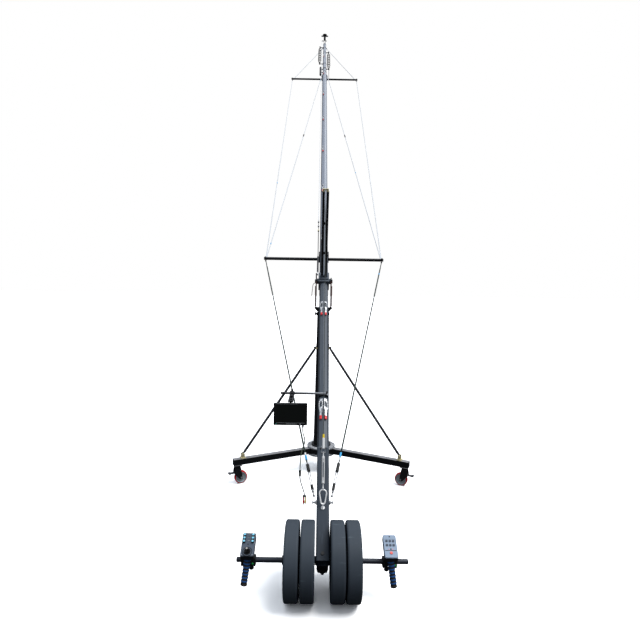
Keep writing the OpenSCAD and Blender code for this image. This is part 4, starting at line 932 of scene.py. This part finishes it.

# Monitor: lower strip, a grey strip along the top left that is a painted highlight of the top edge, keys,
# lamp and the vents and mount of its back
screen = {
    "front": -0.0171,
    "back": 0.0168,
    "stripsAndHighlight": (  # size, place and corner radius
        ((0.186, 0.0016, 0.0006), (0, -0.0565, 0), 0.0007),
        # the upper strip, at the top left, is a painted highlight along the monitor's top edge
        ((0.150, 0.0022, 0.0006), (-0.030, 0.0690, 0), 0.001)),
    "row": -0.0632,
    "keys": 6,
    "keySize": (0.0085, 0.0042, 0.0014),
    "firstKey": -0.021,
    "keyPitch": 0.0115,
    "lampPlace": -0.092,
    "dialPlace": 0.063,
    "vents": 7,
    "ventSize": (0.060, 0.003, 0.0008),
    "ventColumns": (-0.055, 0.055),
    "firstVent": -0.030,
    "ventPitch": 0.008,
    "plateSize": (0.088, 0.088, 0.002),
    "plateScrews": 0.0375,
}
toFront = Matrix.Translation(monitor["centre"] + Vector((0, screen["front"], 0)))
toBack = Matrix.Translation(monitor["centre"] + Vector((0, screen["back"], 0)))
faceOut = toFront @ turned(90, "X")
faceBack = toBack @ turned(-90, "X")


def buildStripAndHighlight(mesh):
    for size, place, corner in screen["stripsAndHighlight"]:
        roundedSlab(mesh, size, corner, faceOut @ moved(*place), 0.0002)


def buildKeys(mesh):
    for k in range(screen["keys"]):
        place = (screen["firstKey"] + screen["keyPitch"] * k, screen["row"], 0)
        roundedSlab(mesh, screen["keySize"], 0.0015, faceOut @ moved(*place))


def buildVents(mesh):
    for k in range(screen["vents"]):
        for x in screen["ventColumns"]:
            place = (x, screen["firstVent"] + screen["ventPitch"] * k, 0)
            roundedSlab(mesh, screen["ventSize"], 0.0014, faceBack @ moved(*place), 0.0003)


def buildBackPlate(mesh):
    roundedSlab(mesh, screen["plateSize"], 0.006, faceBack)
    for x in (-screen["plateScrews"], screen["plateScrews"]):
        for y in (-screen["plateScrews"], screen["plateScrews"]):
            at = faceBack @ moved(x, y, screen["plateSize"][2])
            screwHead(mesh, at, 0.0035, 0.0018)


def buildLamp(mesh):
    revolve(mesh, [(0.0026, 0), (0.0026, 0.0008), (0.0015, 0.0014)], 20)


def buildDial(mesh):
    revolve(mesh, [(0.0034, 0), (0.0034, 0.002), (0.0028, 0.0026)], 20)


lampAt = faceOut @ moved(screen["lampPlace"], screen["row"], 0)
dialAt = faceOut @ moved(screen["dialPlace"], screen["row"], 0)
# The strip piece holds the lower strip and the painted highlight along the top edge
pieceFrom("monitorStripAndHighlight", buildStripAndHighlight, ["stripGreyAndHighlight"], "screen", smooth=False)
pieceFrom("monitorKeys", buildKeys, ["stripGreyAndHighlight"], "screen", smooth=False)
pieceFrom("monitorLamp", buildLamp, ["lampTeal"], "screen", lampAt)
pieceFrom("monitorDial", buildDial, ["brightSteel"], "screen", dialAt)
pieceFrom("monitorVents", buildVents, ["inkBlack"], "screen", smooth=False)
pieceFrom("monitorBackPlate", buildBackPlate, ["blackPlastic"], "screen", smooth=False)

# What stands on the control boxes' faces: the joystick's arch, ticks, sockets, screws and marks
marks = {
    "archRow": 0.024,
    "arches": ((0.0155, 0.0185, 0.0035), (0.0235, 0.0262, 0.0018)),  # inner, outer, height
    "tickRows": (0.1175, 0.098, 0.079),
    "tickPlace": 0.0325,
    "tickLifts": (-0.006, 0, 0.006),
    "tickSize": (0.0028, 0.0011, 0.0003),
    "dashSize": (0.010, 0.0014, 0.0003),
    "dashLift": 0.009,
    "socketRows": (0.127, 0.108, 0.0885, 0.066),
    "socket": [(0.0034, 0), (0.0034, 0.0012), (0.0022, 0.0014), (0.0020, 0.0002)],
    "screwPlace": 0.029,
    "screwRows": (0.006, 0.129),
    "lineRow": 0.041,
    "lineSize": (0.062, 0.0036, 0.0014),
    "lightRow": 0.049,
    "lightPlace": 0.010,
}


def buildArch(mesh):
    at = onBox(-1, 0, marks["archRow"], -0.0002)
    for inner, outer, height in marks["arches"]:
        revolve(mesh, [(inner, 0), (inner, height * 0.8), ((inner + outer) / 2, height),
                       (outer, height * 0.6), (outer + 0.0008, 0)], 48, at)


def buildTicks(mesh):  # short bars beside the dials and a dash between them
    for row in marks["tickRows"]:
        for x in (-marks["tickPlace"], marks["tickPlace"]):
            for lift in marks["tickLifts"]:
                roundedSlab(mesh, marks["tickSize"], 0.0005, onBox(-1, x, row + lift), 0.0001)
        roundedSlab(mesh, marks["dashSize"], 0.0006, onBox(-1, 0, row + marks["dashLift"]), 0.0001)


def buildSockets(mesh):
    for row in marks["socketRows"]:
        revolve(mesh, marks["socket"], 24, onBox(-1, 0, row))


def buildBoxScrews(mesh):
    for side in (-1, 1):
        for x in (-marks["screwPlace"], marks["screwPlace"]):
            for row in marks["screwRows"]:
                screwHead(mesh, onBox(side, x, row), 0.0022, 0.0012, 16)


def buildKeyLine(mesh):
    roundedSlab(mesh, marks["lineSize"], 0.0016, onBox(1, 0, marks["lineRow"], -0.0008), 0.0004)


def buildKeyMarks(mesh):
    for x in (-marks["lightPlace"], marks["lightPlace"]):
        revolve(mesh, [(0.0022, 0), (0.0022, 0.0006), (0.0014, 0.0009)], 16, onBox(1, x, marks["lightRow"]))


pieceFrom("joystickArch", buildArch, ["blackPlastic"], "boom")
pieceFrom("dialTicks", buildTicks, ["markWhite"], "boom", smooth=False)
pieceFrom("faceSockets", buildSockets, ["inkBlack"], "boom")
pieceFrom("boxScrews", buildBoxScrews, ["satinSteel"], "boom")
pieceFrom("keyBoxLine", buildKeyLine, ["inkBlack"], "boom", smooth=False)
pieceFrom("keyBoxMarks", buildKeyMarks, ["coralPlastic"], "boom")

# Box clamps: cheeks each side of the ring, a hand knob below and a green bubble level in front
clamp = {
    "inner": 0.0184,
    "outer": 0.0395,
    "deep": 0.044,
    "high": 0.053,
    "low": -0.031,
    "front": -0.019,
    "knobPlace": (0.016, 0.002, -0.020),
    "knob": [(0.008, 0), (0.008, 0.012), (0.0125, 0.015), (0.013, 0.030), (0.010, 0.034)],
    "levels": {-1: 0.024, 1: 0.029},
    "levelHeight": -0.012,
}


def buildCheeks(mesh):
    thick = clamp["outer"] - clamp["inner"]
    depth = clamp["front"] + clamp["deep"] / 2
    height = clamp["low"] + clamp["high"] / 2
    for side in (-1, 1):
        for way in (-1, 1):
            place = moved(box["places"][side] + way * clamp["inner"], depth, height)
            at = barFrame @ place @ turned(90 * way, "Y")
            roundedSlab(mesh, (clamp["high"], clamp["deep"], thick), 0.010, at, 0.002)


def buildClampKnobs(mesh):
    out, depth, height = clamp["knobPlace"]
    for side in (-1, 1):
        place = moved(box["places"][side] - side * out, depth, height)
        revolve(mesh, clamp["knob"], 28, barFrame @ place @ turned(180, "X"))


def buildLevels(mesh):
    for side in (-1, 1):
        place = (box["places"][side] + clamp["levels"][side], clamp["front"] + 0.001, clamp["levelHeight"])
        at = barFrame @ moved(*place) @ turned(90, "X")
        revolve(mesh, [(0.0056, 0), (0.0056, 0.003), (0.004, 0.0046)], 20, at)


pieceFrom("clampCheeks", buildCheeks, ["blackPlastic"], "boom", smooth=False)
pieceFrom("clampKnobs", buildClampKnobs, ["blackPlastic"], "boom")
pieceFrom("clampLevels", buildLevels, ["greenPlastic"], "boom")

# Tapes, rope covers and lock sleeves on the stays: line, side, place, length, radius and finish
tapes = [
    ("sideStay", -1, 0.244, 0.032, 0.0066, "tapeBlue"),
    ("sideStay", -1, 0.277, 0.018, 0.0064, "tapeWhite"),
    ("sideStay", 1, 0.266, 0.034, 0.0066, "tapeBlue"),
    ("sideStay", 1, 0.243, 0.022, 0.0064, "tapeWhite"),
    ("sideStay", 1, 2.230, 0.020, 0.0064, "tapeBlue"),
    ("longStay", -1, 1.500, 0.022, 0.0052, "tapeBlue"),
    ("diagonal", -1, 0.260, 0.022, 0.0052, "tapeBlue"),
    ("diagonal", 1, 1.750, 0.022, 0.0052, "tapeBlue"),
    ("diagonal", -1, 4.950, 0.024, 0.0052, "tapeBlue"),
    ("sideStay", -1, 0.298, 2.040, 0.0055, "ropeCover"),
    ("sideStay", 1, 0.302, 2.036, 0.0055, "ropeCover"),
    ("sideStay", -1, 0.163, 0.050, 0.0098, "inkBlack"),
    ("sideStay", 1, 0.163, 0.060, 0.0098, "inkBlack"),
    ("sideStay", -1, 0.040, 0.032, 0.0088, "inkBlack"),
    ("sideStay", 1, 0.034, 0.050, 0.0088, "inkBlack"),
]
tapeProfile = [(0.92, 0), (1, 0.04), (1, 0.47), (0.97, 0.5), (1, 0.53), (1, 0.96), (0.92, 1)]
for number, (line, side, place, length, radius, finish) in enumerate(tapes, 1):
    profile = [(radius * wide, length * along) for wide, along in tapeProfile]
    pieceFrom("stayTape%d" % number, lambda mesh, p=profile: revolve(mesh, p, 20),
              [finish], "boom", lineFrame(line, place, side))

# Jaw link of the top stay, from the screw barrel's eye to the sleeve
jaw = {
    "middle": 0.3135,
    "long": 0.046,
    "wide": 0.013,
    "thick": 0.0025,
    "inner": 0.0088,
    "pins": (-0.0165, 0.0145),
    "pinStart": -0.0135,
    "pin": [(0.006, 0), (0.006, 0.002), (0.0035, 0.0022), (0.0035, 0.0248), (0.006, 0.025), (0.006, 0.027)],
}


def buildJaw(mesh):
    middle = lineFrame("topStay", jaw["middle"])
    for way in (-1, 1):
        cheek = moved(way * jaw["inner"], 0, 0)
        at = middle @ cheek @ turned(90 * way, "Y")
        roundedSlab(mesh, (jaw["long"], jaw["wide"], jaw["thick"]), 0.006, at)
    for pin in jaw["pins"]:
        start = moved(jaw["pinStart"], 0, pin)
        revolve(mesh, jaw["pin"], 20, middle @ start @ turned(90, "Y"))


pieceFrom("topStayJaw", buildJaw, ["wornSteel"], "boom", smooth=False)

# Turned-out front edges of the yoke's plates, in the plates' painted reddish reflection
yokeEdge = {
    "inner": 0.060,
    "wide": 0.015,
    "thick": 0.003,
    "front": -0.032,
    "low": 1.478,
    "high": crane["axleHeight"] - 0.040,
}


def buildYokeEdges(mesh):
    size = (yokeEdge["wide"], yokeEdge["high"] - yokeEdge["low"], yokeEdge["thick"])
    for side in (-1, 1):
        middle = (side * (yokeEdge["inner"] + yokeEdge["wide"] / 2), yokeEdge["front"],
                  (yokeEdge["low"] + yokeEdge["high"]) / 2)
        at = moved(*middle) @ turned(90, "X")
        roundedSlab(mesh, size, 0.003, at)


# Screw heads at the tail tube's end and on the hub
screws = {
    "seamPlaces": ((-0.0135, -1.692, 0.0365), (0.0135, -1.692, 0.0365)),
    "seamHead": (0.0062, 0.004),
    "hubCount": 12,
    "hubFirst": 15,
    "hubReach": 0.112,
    "hubHead": (0.0065, 0.005),
}


def buildSeamScrews(mesh):
    for place in screws["seamPlaces"]:
        screwHead(mesh, boomFrame @ moved(*place), *screws["seamHead"])


def buildHubScrews(mesh):
    for k in range(screws["hubCount"]):
        angle = math.radians(screws["hubFirst"] + 360 / screws["hubCount"] * k)
        place = (screws["hubReach"] * math.cos(angle), screws["hubReach"] * math.sin(angle), hub["top"])
        screwHead(mesh, moved(*place), *screws["hubHead"])


pieceFrom("yokeEdges", buildYokeEdges, ["yokePaintedReflection"], "pan_head", smooth=False)
pieceFrom("seamScrews", buildSeamScrews, ["inkBlack"], "boom")
pieceFrom("hubScrews", buildHubScrews, ["satinSteel"], "stand")
print("added pieces made")


# Floor, light and background
stage = {
    "size": 40,
    "rough": 0.9,
    "gloss": 0.1,
    "floor": (0.04, 0.04, 0.041, 1),  # what the crane's underside sees
    "floorSeen": (1.7, 1.7, 1.7, 1),
    "horizon": (0.50, (0.014, 0.015, 0.017, 1)),
    "overhead": (0.92, (0.74, 0.79, 0.86, 1)),
    "backdrop": (1, 1, 1, 1),
}


def buildStage():
    floor = bpy.data.materials.new("studioFloor")
    floor.use_nodes = True
    tree = floor.node_tree
    shader = tree.nodes["Principled BSDF"]
    shader.inputs["Roughness"].default_value = stage["rough"]
    shader.inputs["Specular IOR Level"].default_value = stage["gloss"]
    path = tree.nodes.new("ShaderNodeLightPath")
    colour = blendColour(floor, path.outputs["Is Camera Ray"], stage["floor"], stage["floorSeen"])
    tree.links.new(colour, shader.inputs["Base Color"])
    mesh = bmesh.new()
    bmesh.ops.create_grid(mesh, x_segments=8, y_segments=8, size=stage["size"])
    ground = placeMesh("studioFloor", mesh)
    ground.data.materials.append(floor)


def buildWorld():  # dim below, bright overhead, white where the camera looks
    world = bpy.data.worlds.new("studioLight")
    bpy.context.scene.world = world
    world.use_nodes = True
    tree = world.node_tree
    ground = tree.nodes["Background"]
    place = tree.nodes.new("ShaderNodeTexCoord")
    parts = tree.nodes.new("ShaderNodeSeparateXYZ")
    tree.links.new(place.outputs["Generated"], parts.inputs["Vector"])
    ramp = tree.nodes.new("ShaderNodeValToRGB")
    for stop, name in zip(ramp.color_ramp.elements, ("horizon", "overhead")):
        stop.position, stop.color = stage[name]
    height = remapIn(tree, parts.outputs["Z"], -1.0, 1.0, 0.0, 1.0)
    tree.links.new(height, ramp.inputs["Fac"])
    path = tree.nodes.new("ShaderNodeLightPath")
    backdrop = blendColour(world, path.outputs["Is Camera Ray"], ramp.outputs["Color"], stage["backdrop"])
    tree.links.new(backdrop, ground.inputs["Color"])


def addSun(name, direction, strength, angle, colour):
    data = bpy.data.lights.new(name, "SUN")
    data.energy = strength
    data.angle = math.radians(angle)
    data.color = colour
    sun = bpy.data.objects.new(name, data)
    sun.rotation_mode = "QUATERNION"
    sun.rotation_quaternion = Vector(direction).to_track_quat("-Z", "Y")
    bpy.context.scene.collection.objects.link(sun)


buildStage()
buildWorld()
suns = {  # direction, strength, width in degrees and colour
    "softKey": ((-0.50, 0.18, -1.0), 2.2, 32, (1.0, 0.99, 0.97)),
    "softBack": ((-0.3, -0.9, -0.8), 0.35, 50, (0.94, 0.97, 1.0)),
}
for name, settings in suns.items():
    addSun(name, *settings)
bpy.context.scene.view_settings.view_transform = "Standard"
print("stage and light built")
